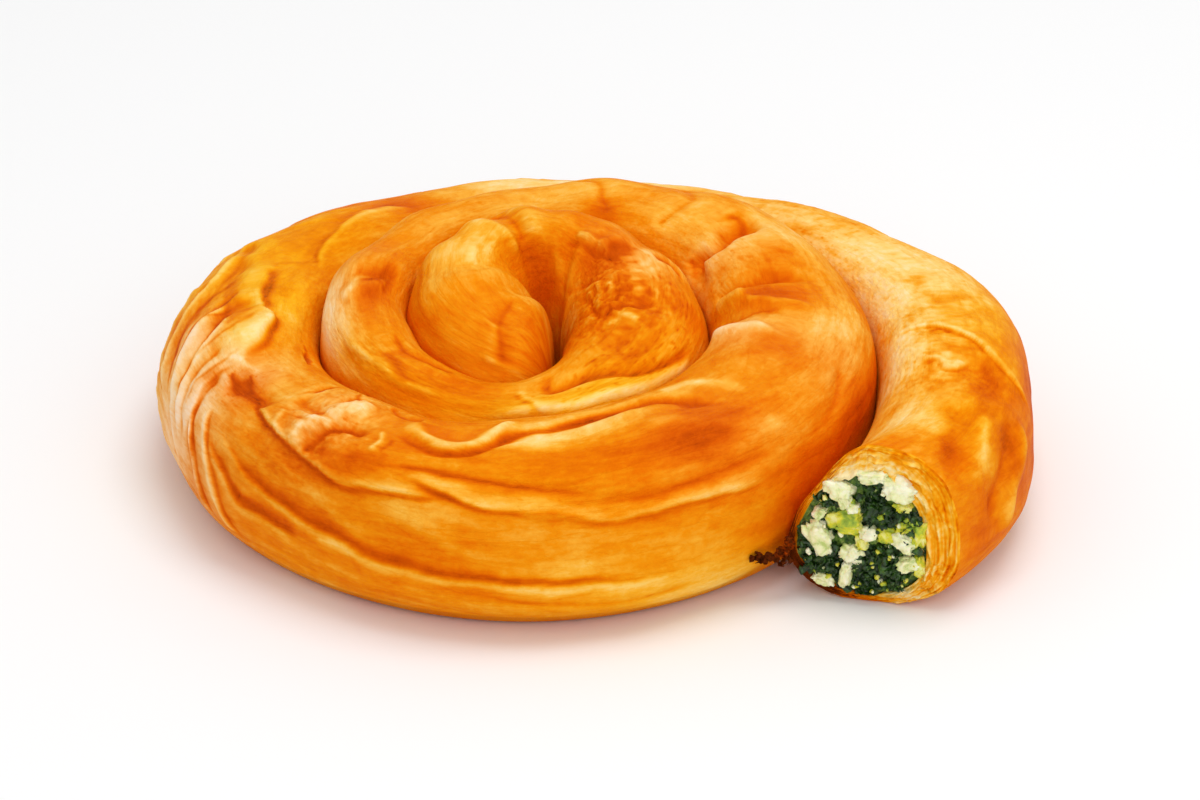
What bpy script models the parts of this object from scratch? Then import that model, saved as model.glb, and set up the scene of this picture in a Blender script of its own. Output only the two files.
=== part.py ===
"""Spinach and cheese swirl: a filled roll of filo pastry, coiled almost three times, cut at its outer end.

Sizes are in millimetres, and the meshes are made in metres. The roll is followed by its turn, in degrees,
which grows from the cut end inwards: 0 lies at +X, 90 at the back, 270 at the front. The lie is the angle
round the roll's own section: 0 on its outer side, 90 on top, 180 on the side towards the middle.
"""
import math
import random

import bmesh
import bpy
import numpy as np

METRES = 0.001

# Driving sizes of the coil. Each list has one value for every eighth of a turn, from the cut inwards.
EYE = (-6.94, 4.093)
EIGHTH = 45.0
CUT_TURN = -50.0
TIP_TURN = 987.0
OUTER_EDGE = (94.0, 85.6, 72.2, 68.9, 67.4, 71.1, 73.1, 74.6, 67.4, 57.2, 50.6, 44.1,
              41.1, 41.8, 44.9, 43.6, 34.0, 27.5, 24.3, 22.5, 23.8, 25.8, 27.9, 27.4, 27.0)
TOP_HEIGHT = (30.5, 30.2, 26.8, 26.0, 26.8, 28.8, 29.9, 30.8, 32.8, 33.9, 34.9, 35.0,
              34.1, 33.2, 30.3, 28.0, 29.7, 33.6, 36.7, 38.9, 39.1, 38.2, 34.5, 30.2, 28.0)
EYE_TURN = 625.0
EYE_EDGE = (5.0, 2.4, 1.2, 1.4, 3.6, 5.6, 4.6, 2.6, 1.4, 1.4)
EYE_OPENS = (975.0, 1006.0)

# The section of the roll
TURN_GAP = 0.8
ROUNDNESS = 2.3
PRESSED_ROUNDNESS = 3.1
PRESSED_OUTSIDE = (295.0, 325.0)
PRESSED_INSIDE = (622.0, 652.0)
WIDEST = 0.46
BASE_DROP = 1.12
TIP_SPAN = 20.0
TIP_LEAST = 0.3

# The filling inside the roll
WALL_SIDE = 3.6
WALL_TOP = 3.2
WALL_BASE = 2.6
FILLING_ROUNDNESS = 2.1
FILLING_CLEARANCE = 0.45
BORE_END = 948.0
LAST_RING_SHARE = 0.9
FACE_DEPTH = 3.0

# What the last stretch changes to at the cut: it swings to face the front, steps back, slants and narrows
CUT_SPAN = 42.0
CUT_SWING = 36.0
CUT_SHIFT = 1.5
CUT_BACK = 3.6
CUT_INNER_SHARE = 0.82
CUT_SLANT = 1.5
CUT_BORE_SLANT = 1.7
CUT_BASE_ROUNDNESS = 2.05
CUT_WIDEST = 0.31
CUT_DROP = 1.04
CUT_WALL_OUTER = 5.2
CUT_WALL_INNER = 0.9
CUT_WALL_TOP = 4.4
CUT_WALL_BASE = 1.2

# How finely the surface is cut into faces
STATIONS = 196
BORE_STATIONS = 76
TOP_LIES = 19
TOP_LIE_FROM, TOP_LIE_TO = -20.0, 200.0
BASE_LIES = (222.0, 242.0, 270.0, 298.0, 318.0)

# Folds in the pastry: kind, height and width in mm, then the turn and lie of each point along the fold.
# The raised side of a lap is on the left of its line, seen with the turn to the right and the lie upwards.
FOLDS = (
    ("lap", 1.8, 4.5, ((290, -10), (278, -8), (266, -5), (253, -7), (238, 2), (228, 12), (218, 28),
                       (213, 38))),
    ("crease", 1.0, 2.6, ((214, 24), (219, 6), (229, -4), (240, -9))),
    ("lap", 1.9, 5.5, ((213, 76), (220, 66), (226, 55), (235, 39), (244, 37), (255, 38))),
    ("lap", 1.4, 5.0, ((244, 52), (252, 46), (262, 35), (271, 27), (279, 23), (291, 25), (306, 20))),
    ("crease", 1.0, 2.2, ((245, 58), (254, 54), (266, 49), (278, 40))),
    ("ridge", 1.8, 2.6, ((238, 96), (246, 86), (252, 80), (257, 86), (261, 100))),
    ("ridge", 1.6, 2.6, ((612, 57), (626, 58), (640, 51), (654, 48), (668, 40), (684, 34))),
    ("crease", 2.0, 2.0, ((243, 86), (251, 74), (258, 78), (264, 93), (272, 96), (290, 98), (303, 76))),
    ("crease", 2.0, 2.2, ((357, 146), (358, 122), (360, 103), (364, 84))),
    ("ridge", 1.6, 3.0, ((352, 150), (350, 128), (351, 107))),
    ("ridge", 1.2, 3.0, ((325, 138), (325, 123), (328, 108), (331, 90))),
    ("crease", 2.4, 2.2, ((368, 152), (384, 136), (382, 113), (388, 95), (394, 82))),
    ("lap", 1.6, 5.0, ((-14, 140), (-14, 100), (-17, 82), (-21, 61), (-23, 43), (-25, 20))),
    ("crease", 1.8, 4.5, ((-23, 74), (-27, 51))),
    ("crease", 1.6, 3.0, ((-33, 67), (-40, 51), (-44, 37), (-48, 20))),
    ("lap", 1.5, 6.0, ((206, 84), (200, 93), (191, 106), (186, 99), (178, 97), (170, 95), (162, 92))),
    ("crease", 0.9, 2.4, ((151, 61), (166, 74), (180, 67), (188, 47), (197, 22))),
    ("crease", 0.8, 2.6, ((180, 96), (187, 85), (196, 65), (201, 38))),
    ("ridge", 1.0, 3.0, ((189, 104), (195, 96), (201, 88), (207, 76))),
    ("crease", 1.2, 3.2, ((208, 62), (212, 71), (217, 74), (220, 64))),
    ("ridge", 2.0, 3.4, ((770, 90), (756, 88), (745, 86))),
    ("crease", 1.6, 2.0, ((713, 132), (695, 125), (676, 111), (684, 92), (696, 80))),
    ("crease", 1.5, 2.4, ((234, 48), (234, 64), (236, 76), (241, 80))),
    ("ridge", 1.3, 3.0, ((231, 48), (232, 66), (234, 84), (238, 98))),
    ("crease", 1.5, 2.2, ((536, 80), (537, 97), (536, 119))),
    ("ridge", 1.4, 2.2, ((552, 73), (547, 83), (544, 96), (545, 108))),
    ("crease", 1.6, 2.6, ((950, 103), (960, 80), (966, 61), (970, 40))),
    ("crease", 1.4, 2.4, ((630, 100), (628, 92), (629, 84), (634, 81), (642, 77), (653, 69), (664, 56),
                          (675, 47), (688, 40))),
)
FOLD_TAPER = 0.16
LAP_FOOT = 3.0
MEAN_RADIUS = 15.0

# Where the relief fades, in lie or in the sine of the lie: from nothing to full
BASE_FADE = (-0.75, -0.35)
OUTSIDE_SEAM_FADE = (20.0, 50.0)
INSIDE_SEAM_FADE = (158.0, 128.0)
EYE_FADE = (165.0, 125.0)
SEAM_STARTS = (294.0, 310.0)
EYE_STARTS = (622.0, 642.0)

# Slow unevenness of the roll: height, then waves to a degree of turn and of lie, and phase
SWELLS = ((0.45, 2.7, 0.0, 40.0), (0.35, 7.3, 2.0, 0.0), (0.25, 11.9, -1.0, 0.0))

# Shallow folds drawn by rule on the back and the outer flank
DRAWN_FOLDS = 14
DRAWN_SEED = 11
DRAWN_TURNS = (10.0, 160.0)
DRAWN_LIES = (0.0, 75.0)
DRAWN_LENGTHS = (18.0, 36.0)
DRAWN_CLIMB = 22.0
DRAWN_HEIGHTS = (0.6, 1.1)
DRAWN_WIDTHS = (1.8, 2.8)
DRAWN_POINTS = 4
DRAWN_BEND = 0.8

# Small steps and counts of the sums
NORMAL_STEP = 0.6
FINE_STEPS = 4000
FAR = 1e9

# Flaky layers of the cut rim, as a share of the wall and how far each stands out
RIM_LAYERS = ((0.3, 1.0), (0.62, -0.3))

# Lumps of cheese and leaf on the cut face
FACE_RINGS = (0.8, 0.58, 0.36, 0.16)
LUMPS = 18
LUMP_SEED = 5
LUMP_HEIGHT = (0.5, 1.5)
LUMP_SPREAD = (1.8, 3.2)
LUMP_REACH = 11.0
LUMP_SIGNS = (1.0, 1.0, -0.6)
FACE_STAND = 0.2
RIM_UNEVEN = 0.35
RIM_WAVES = 3.0

PASTRY_COLOUR = (0.80, 0.32, 0.055, 1.0)
FILLING_COLOUR = (0.10, 0.20, 0.05, 1.0)


def clear_scene():
    for thing in list(bpy.data.objects):
        bpy.data.objects.remove(thing, do_unlink=True)


def ease(share):
    share = np.clip(share, 0.0, 1.0)
    return share * share * (3.0 - 2.0 * share)


def along(values, turn, first=CUT_TURN):
    """A list's value at a turn, read off a smooth curve through its values at each eighth of a turn."""
    values = np.asarray(values, float)
    last = len(values) - 1
    place = np.clip((turn - first) / EIGHTH, 0.0, last - 1e-9)
    low = place.astype(int)
    part = place - low
    before, here = values[np.maximum(low - 1, 0)], values[low]
    after, beyond = values[low + 1], values[np.minimum(low + 2, last)]
    bend = 2.0 * before - 5.0 * here + 4.0 * after - beyond
    twist = 3.0 * here - before - 3.0 * after + beyond
    return here + 0.5 * part * ((after - before) + part * (bend + part * twist))


def edges(turn):
    """Radius of the roll's outer and inner edge. The inner one meets the next turn in, or ends at the eye."""
    outer = along(OUTER_EDGE, turn)
    next_in = along(OUTER_EDGE, turn + 360.0)
    free = along(EYE_EDGE, turn, EYE_TURN)
    opened = ease((turn + 360.0 - EYE_OPENS[0]) / (EYE_OPENS[1] - EYE_OPENS[0]))
    return outer, next_in + opened * (free - next_in)


def tip_size(turn):
    """How much of the section is left near the tucked-in tip."""
    share = np.clip((TIP_TURN - turn) / TIP_SPAN, 0.0, 1.0)
    return TIP_LEAST + (1.0 - TIP_LEAST) * np.sqrt(share * (2.0 - share))


def faded(value, ends):
    """0 at the first end and before it, 1 at the second end and past it."""
    return ease((value - ends[0]) / (ends[1] - ends[0]))


def shoulder(turn, lie):
    """How square the section is: round on its free sides, squarer where a neighbouring turn presses."""
    outside = np.cos(np.radians(lie)) > 0.0
    pressed = np.where(outside, faded(turn, PRESSED_OUTSIDE), 1.0 - faded(turn, PRESSED_INSIDE))
    above = np.sin(np.radians(lie)) > 0.0
    return ROUNDNESS + (PRESSED_ROUNDNESS - ROUNDNESS) * pressed * above


def ended(turn):
    """1 at the cut, falling to 0 where the last stretch begins."""
    return 1.0 - ease((turn - CUT_TURN) / CUT_SPAN)


def blended(turn, plain, at_cut):
    """A size that is plain along the coil and changes to another at the cut."""
    return plain + (at_cut - plain) * ended(turn)


def corner(turn, lie, plain, slant):
    """The exponent of the section's curve. At the cut it slants the upper inner side and rounds the base."""
    inside = np.cos(np.radians(lie)) <= 0.0
    above = np.sin(np.radians(lie)) > 0.0
    at_cut = np.where(above, np.where(inside, slant, plain), CUT_BASE_ROUNDNESS)
    return blended(turn, plain, at_cut)


def walls(turn, outside, clearance):
    """Thickness of the pastry at the side, the top and the base, with a clearance for the filling."""
    at_cut = np.where(outside, CUT_WALL_OUTER, CUT_WALL_INNER)
    side = blended(turn, WALL_SIDE, at_cut)
    top = blended(turn, WALL_TOP, CUT_WALL_TOP)
    base = blended(turn, WALL_BASE, CUT_WALL_BASE)
    return side + clearance, top + clearance, base + clearance


def section(turn, lie, clearance=None):
    """Distance out from the roll's middle and height of a point on its skin, or, with a clearance, its bore."""
    outer, inner = edges(turn)
    height = along(TOP_HEIGHT, turn)
    size = tip_size(turn)
    outside = np.cos(np.radians(lie)) > 0.0
    side = top = base = 0.0
    drop, roundness = blended(turn, BASE_DROP, CUT_DROP), corner(turn, lie, shoulder(turn, lie), CUT_SLANT)
    if clearance is not None:
        side, top, base = walls(turn, outside, clearance)
        drop, roundness = 1.0, corner(turn, lie, FILLING_ROUNDNESS, CUT_BORE_SLANT)
    share = np.where(outside, 1.0, blended(turn, 1.0, CUT_INNER_SHARE))
    half = ((outer - inner - TURN_GAP) / 2.0 * share - side) * size
    middle = blended(turn, WIDEST, CUT_WIDEST) * height
    angle = np.radians(lie)
    across = np.sign(np.cos(angle)) * np.abs(np.cos(angle)) ** (2.0 / roundness)
    upright = np.sign(np.sin(angle)) * np.abs(np.sin(angle)) ** (2.0 / roundness)
    rise = np.where(upright > 0.0, height - middle - top, drop * middle - base) * size
    return half * across, np.maximum(middle + rise * upright, base)


def placed(turn, out, height):
    """Points in space. The last stretch before the cut is swung to face the front and steps back from it."""
    outer, inner = edges(turn)
    swing = np.radians(CUT_SWING) * ended(turn)
    centre = (outer + inner) / 2.0 + CUT_SHIFT * ended(turn)
    round_coil = np.radians(turn)
    oblique = out / np.cos(swing)
    back_x, back_y, _ = -CUT_BACK * cut_normal()
    x = EYE[0] + centre * np.cos(round_coil) + oblique * np.cos(round_coil + swing) + back_x * ended(turn)
    y = EYE[1] + centre * np.sin(round_coil) + oblique * np.sin(round_coil + swing) + back_y * ended(turn)
    return np.stack([x, y, height], -1)


def cut_normal():
    """The direction that the cut face looks in."""
    facing = math.radians(CUT_TURN + CUT_SWING)
    return np.array([math.sin(facing), -math.cos(facing), 0.0])


def signed_distance(turn, lie, points):
    """Distance in mm from a fold's line, positive on its left, and the share of the line passed."""
    ring = float(np.mean(edges(np.array([turn_at for turn_at, _ in points], float))))
    scale = np.radians(np.array([ring, MEAN_RADIUS]))
    line = np.array(points, float) * scale
    here = np.stack([turn * scale[0], lie * scale[1]], -1)
    lengths = np.linalg.norm(np.diff(line, axis=0), axis=1)
    passed = np.concatenate([[0.0], np.cumsum(lengths)])
    best = np.full(turn.shape, FAR)
    side = np.zeros(turn.shape)
    share = np.zeros(turn.shape)
    for start, end, length, before in zip(line[:-1], line[1:], lengths, passed):
        way = (end - start) / length
        offset = here - start
        run = np.clip(offset @ way, 0.0, length)
        gap = np.linalg.norm(offset - run[..., None] * way, axis=-1)
        nearer = gap < best
        best = np.where(nearer, gap, best)
        cross = way[0] * offset[..., 1] - way[1] * offset[..., 0]
        side = np.where(nearer, np.sign(cross), side)
        share = np.where(nearer, (before + run) / passed[-1], share)
    return best * side, share


def fold_relief(turn, lie, fold):
    kind, height, width, points = fold
    distance, share = signed_distance(turn, lie, points)
    height = height * ease(share / FOLD_TAPER) * ease((1.0 - share) / FOLD_TAPER)
    if kind == "lap":
        behind = np.maximum(distance - LAP_FOOT / 2.0, 0.0)
        return height * ease(distance / LAP_FOOT + 0.5) * np.exp(-behind / width)
    bump = height * np.exp(-(distance / width) ** 2)
    return bump if kind == "ridge" else -bump


def drawn_folds():
    """Long shallow creases on the back and the outer flank of the outermost turn."""
    draw = random.Random(DRAWN_SEED)
    folds = []
    for _ in range(DRAWN_FOLDS):
        turn = draw.uniform(*DRAWN_TURNS)
        lie = draw.uniform(*DRAWN_LIES)
        length = draw.uniform(*DRAWN_LENGTHS)
        climb = draw.uniform(-DRAWN_CLIMB, DRAWN_CLIMB)
        height = draw.uniform(*DRAWN_HEIGHTS)
        width = draw.uniform(*DRAWN_WIDTHS)
        points = tuple((turn + length * step / (DRAWN_POINTS - 1), lie + climb * math.sin(step * DRAWN_BEND))
                       for step in range(DRAWN_POINTS))
        folds.append(("crease", height, width, points))
    return folds


def swell(turn, lie):
    """The slow unevenness of hand-rolled pastry."""
    return sum(height * np.sin(np.radians(by_turn * turn + by_lie * lie + phase))
               for height, by_turn, by_lie, phase in SWELLS)


def relief(turn, lie):
    """Height of the folds over the plain section. It fades where the roll rests and where turns touch."""
    total = swell(turn, lie)
    for fold in FOLDS + tuple(drawn_folds()):
        total = total + fold_relief(turn, lie, fold)
    off_base = faded(np.sin(np.radians(lie)), BASE_FADE)
    at_seam, at_eye = faded(turn, SEAM_STARTS), faded(turn, EYE_STARTS)
    off_outside = 1.0 - at_seam * (1.0 - faded(lie, OUTSIDE_SEAM_FADE))
    off_inside = faded(lie, INSIDE_SEAM_FADE) * (1.0 - at_eye) + faded(lie, EYE_FADE) * at_eye
    off_tip = ease((TIP_TURN - turn) / TIP_SPAN)
    return total * off_base * off_outside * off_inside * off_tip


def skin_point(turn, lie):
    """A point of the pastry's surface, pushed out along the section by the relief."""
    out, height = section(turn, lie)
    out_after, height_after = section(turn, lie + NORMAL_STEP)
    out_before, height_before = section(turn, lie - NORMAL_STEP)
    along_out, along_height = out_after - out_before, height_after - height_before
    length = np.hypot(along_out, along_height) + 1.0 / FAR
    push = relief(turn, lie)
    out = out + push * along_height / length
    height = np.maximum(height - push * along_out / length, 0.0)
    return placed(turn, out, height)


def even_turns(last, count):
    """Turns from the cut to a last one, even along the outer edge, closer where the inner one swings in."""
    fine = np.linspace(CUT_TURN, last, FINE_STEPS)
    outer, inner = edges(fine)
    steps = outer[1:] * np.diff(np.radians(fine)) + np.abs(np.diff(inner))
    passed = np.concatenate([[0.0], np.cumsum(steps)])
    return np.interp(np.linspace(0.0, passed[-1], count), passed, fine)


def ring_lies():
    top = np.linspace(TOP_LIE_FROM, TOP_LIE_TO, TOP_LIES)
    return np.concatenate([top, BASE_LIES])


def add_ring(mesh, points):
    return [mesh.verts.new(tuple(point * METRES)) for point in points]


def bridge(mesh, ring, next_ring):
    count = len(ring)
    for here in range(count):
        after = (here + 1) % count
        mesh.faces.new((ring[here], ring[after], next_ring[after], next_ring[here]))


def bridge_to_half(mesh, ring, half_ring):
    """Join a ring to one with half as many points."""
    count = len(half_ring)
    for here in range(count):
        first, between, last = ring[2 * here], ring[2 * here + 1], ring[(2 * here + 2) % len(ring)]
        near, far = half_ring[here], half_ring[(here + 1) % count]
        mesh.faces.new((first, between, near))
        mesh.faces.new((between, far, near))
        mesh.faces.new((between, last, far))


def close_ring(mesh, ring):
    middle = sum((corner.co for corner in ring[1:]), ring[0].co.copy()) / len(ring)
    hub = mesh.verts.new(middle)
    for here in range(len(ring)):
        mesh.faces.new((ring[here], ring[(here + 1) % len(ring)], hub))


def wall_ring(turn, lies, clearance):
    """A ring of the bore, or of the filling when there is a clearance."""
    turns = np.full(len(lies), turn)
    out, height = section(turns, lies, clearance)
    return placed(turns, out, height)


def bore_rings(clearance, last_share):
    """The bore's rings from just behind the cut to its end. The last is drawn back to a share of its step."""
    turns = even_turns(BORE_END, BORE_STATIONS)
    turns[0] = CUT_TURN + math.degrees(FACE_DEPTH / OUTER_EDGE[0])
    rings = [wall_ring(turn, ring_lies()[::2], clearance) for turn in turns]
    rings[-1] = rings[-2] + last_share * (rings[-1] - rings[-2])
    return rings


def add_tube(mesh, first_ring, clearance, last_share):
    """Carry a full ring at the cut on to half rings along the bore, and close the far end."""
    ring = None
    for points in bore_rings(clearance, last_share):
        next_ring = add_ring(mesh, points)
        if ring is None:
            bridge_to_half(mesh, first_ring, next_ring)
        else:
            bridge(mesh, ring, next_ring)
        ring = next_ring
    close_ring(mesh, ring)


def add_skin(mesh, lies):
    """The outer skin from the cut to the tip. The first ring is handed back."""
    first_ring = ring = None
    for turn in even_turns(TIP_TURN, STATIONS):
        next_ring = add_ring(mesh, skin_point(np.full(len(lies), turn), lies))
        if ring is None:
            first_ring = next_ring
        else:
            bridge(mesh, next_ring, ring)
        ring = next_ring
    close_ring(mesh, ring[::-1])
    return first_ring


def add_rim(mesh, lies, skin_ring):
    """The layered rim round the cut. Its inmost ring is handed back."""
    turns = np.full(len(lies), CUT_TURN)
    outside = skin_point(turns, lies)
    inside = wall_ring(CUT_TURN, lies, 0.0)
    ring = skin_ring
    for share, stand in RIM_LAYERS + ((1.0, 0.0),):
        uneven = 1.0 + RIM_UNEVEN * np.sin(np.radians(RIM_WAVES * lies) + share)
        points = outside + share * (inside - outside) + (stand * uneven)[:, None] * cut_normal()
        next_ring = add_ring(mesh, points)
        bridge(mesh, ring, next_ring)
        ring = next_ring
    return ring


def face_lumps(points, centre):
    """How far the cut face stands out at each point, as a sum of drawn lumps."""
    draw = random.Random(LUMP_SEED)
    across = np.array([-cut_normal()[1], cut_normal()[0], 0.0])
    side = (points - centre) @ across
    rise = points[:, 2] - centre[2]
    stand = np.full(len(points), FACE_STAND)
    for _ in range(LUMPS):
        reach = LUMP_REACH * math.sqrt(draw.random())
        angle = draw.uniform(0.0, 2.0 * math.pi)
        spread = draw.uniform(*LUMP_SPREAD)
        height = draw.uniform(*LUMP_HEIGHT) * draw.choice(LUMP_SIGNS)
        distance = np.hypot(side - reach * math.cos(angle), rise - reach * math.sin(angle))
        stand = stand + height * np.exp(-(distance / spread) ** 2)
    return stand


def add_cut_face(mesh, lies):
    """The filling's lumpy face at the cut. Its outermost ring is handed back."""
    edge = wall_ring(CUT_TURN, lies, FILLING_CLEARANCE)
    centre = edge.mean(axis=0)
    edge_ring = ring = add_ring(mesh, edge)
    for share in FACE_RINGS:
        points = centre + share * (edge - centre)
        stand = face_lumps(points, centre)
        next_ring = add_ring(mesh, points + stand[:, None] * cut_normal())
        bridge(mesh, ring, next_ring)
        ring = next_ring
    close_ring(mesh, ring)
    return edge_ring


def make_material(name, colour, roughness):
    material = bpy.data.materials.new(name)
    material.use_nodes = True
    shader = material.node_tree.nodes["Principled BSDF"]
    shader.inputs["Base Color"].default_value = colour
    shader.inputs["Roughness"].default_value = roughness
    shader.inputs["Metallic"].default_value = 0.0
    material.diffuse_color = colour
    return material


def make_object(name, mesh, material):
    bmesh.ops.recalc_face_normals(mesh, faces=mesh.faces)
    data = bpy.data.meshes.new(name)
    mesh.to_mesh(data)
    mesh.free()
    data.shade_smooth()
    data.materials.append(material)
    thing = bpy.data.objects.new(name, data)
    bpy.context.scene.collection.objects.link(thing)
    return thing


def make_pastry():
    """The coiled pastry: one closed skin that turns in at the cut and lines the bore."""
    mesh = bmesh.new()
    lies = ring_lies()
    skin_ring = add_skin(mesh, lies)
    rim_ring = add_rim(mesh, lies, skin_ring)
    add_tube(mesh, rim_ring, 0.0, 1.0)
    return make_object("pastry_coil", mesh, make_material("baked_filo", PASTRY_COLOUR, 0.5))


def make_filling():
    """The spinach and cheese filling, which runs through the roll from the cut to near the tip."""
    mesh = bmesh.new()
    edge_ring = add_cut_face(mesh, ring_lies())
    add_tube(mesh, edge_ring, FILLING_CLEARANCE, LAST_RING_SHARE)
    return make_object("filling", mesh, make_material("spinach_and_cheese", FILLING_COLOUR, 0.6))


clear_scene()
make_pastry()
make_filling()
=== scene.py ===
"""Looks of the spinach and cheese swirl: browned filo, the cut end with its filling, camera and light.

Sizes are in millimetres, and the meshes are made in metres. The roll is followed by its turn, in degrees,
which grows from the cut end inwards: 0 lies at +X, 90 at the back, 270 at the front. The lie is the angle
round the roll's own section: 0 on its outer side, 90 on top, 180 on the side towards the middle.
"""
import math
import random

import bmesh
import bpy
import numpy as np
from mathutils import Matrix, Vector, noise as space_noise


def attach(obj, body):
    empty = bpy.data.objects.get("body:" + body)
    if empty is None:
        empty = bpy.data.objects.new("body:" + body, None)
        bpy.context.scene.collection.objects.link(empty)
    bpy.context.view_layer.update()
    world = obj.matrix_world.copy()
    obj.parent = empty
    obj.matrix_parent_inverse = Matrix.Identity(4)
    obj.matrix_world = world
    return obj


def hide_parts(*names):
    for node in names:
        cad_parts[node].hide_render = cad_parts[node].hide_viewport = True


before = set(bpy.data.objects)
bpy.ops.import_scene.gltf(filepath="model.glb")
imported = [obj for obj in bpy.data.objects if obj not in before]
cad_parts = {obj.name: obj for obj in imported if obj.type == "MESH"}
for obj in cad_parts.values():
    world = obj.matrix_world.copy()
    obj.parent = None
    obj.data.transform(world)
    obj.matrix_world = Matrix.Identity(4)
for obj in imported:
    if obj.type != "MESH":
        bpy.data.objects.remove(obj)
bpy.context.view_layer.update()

METRES = 0.001

# The coil, as in the solids. Each list has one value for every eighth of a turn, from the cut inwards.
EYE = (-6.94, 4.093)
EIGHTH = 45.0
CUT_TURN = -50.0
TIP_TURN = 987.0
OUTER_EDGE = (94.0, 85.6, 72.2, 68.9, 67.4, 71.1, 73.1, 74.6, 67.4, 57.2, 50.6, 44.1,
              41.1, 41.8, 44.9, 43.6, 34.0, 27.5, 24.3, 22.5, 23.8, 25.8, 27.9, 27.4, 27.0)
TOP_HEIGHT = (30.5, 30.2, 26.8, 26.0, 26.8, 28.8, 29.9, 30.8, 32.8, 33.9, 34.9, 35.0,
              34.1, 33.2, 30.3, 28.0, 29.7, 33.6, 36.7, 38.9, 39.1, 38.2, 34.5, 30.2, 28.0)
EYE_TURN = 625.0
EYE_EDGE = (5.0, 2.4, 1.2, 1.4, 3.6, 5.6, 4.6, 2.6, 1.4, 1.4)
EYE_OPENS = (975.0, 1006.0)

# The section of the roll. Here neighbouring turns press a little into each other, more so at the eye.
TURN_PRESS = 0.7
EYE_PRESS = 1.6
EYE_PRESS_FROM = (850.0, 930.0)
ROUNDNESS = 2.3
PRESSED_ROUNDNESS = 3.1
PRESSED_OUTSIDE = (295.0, 325.0)
PRESSED_INSIDE = (622.0, 652.0)
WIDEST = 0.46
BASE_DROP = 1.12
TIP_SPAN = 20.0
TIP_LEAST = 0.3
WALL_SIDE = 3.6
WALL_TOP = 3.2
WALL_BASE = 2.6
FILLING_ROUNDNESS = 2.1
FILLING_CLEARANCE = 0.45
BORE_END = 948.0
MEAN_RADIUS = 15.0

# What the last stretch changes to at the cut: it swings to face the front, steps back, slants and narrows
CUT_SPAN = 42.0
CUT_SWING = 36.0
CUT_SHIFT = 1.5
CUT_BACK = 3.6
CUT_INNER_SHARE = 0.82
CUT_SLANT = 1.5
CUT_BORE_SLANT = 1.7
CUT_BASE_ROUNDNESS = 2.05
CUT_WIDEST = 0.31
CUT_DROP = 1.04
CUT_WALL_OUTER = 5.2
CUT_WALL_INNER = 0.9
CUT_WALL_TOP = 4.4
CUT_WALL_BASE = 1.2

# How finely the skin is cut into faces: rings along the roll, and points round a ring that show or don't
RINGS = 2400
RING_OUTER_SHARE = 0.35
SHOWN_LIES = 133
HIDDEN_LIES = 14
STRETCHES = 4

# The shown lies begin and end at these, first on a free turn, then where a neighbour covers the outer side
# and at the eye, and these are the turns between which they change
SHOWN_FROM = (-40.0, 12.0)
SHOWN_TO = (158.0, 180.0)
COVERED_TURNS = (292.0, 326.0)
EYE_TURNS = (612.0, 632.0)

# Steps for summing lengths, for smoothing a line and for reading the skin's slope, and two limits
FINE_STEPS = 4000
LINE_STEPS = 4
LIE_STEP = 0.6
FAR = 1e9
TINY = 1e-12

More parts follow.
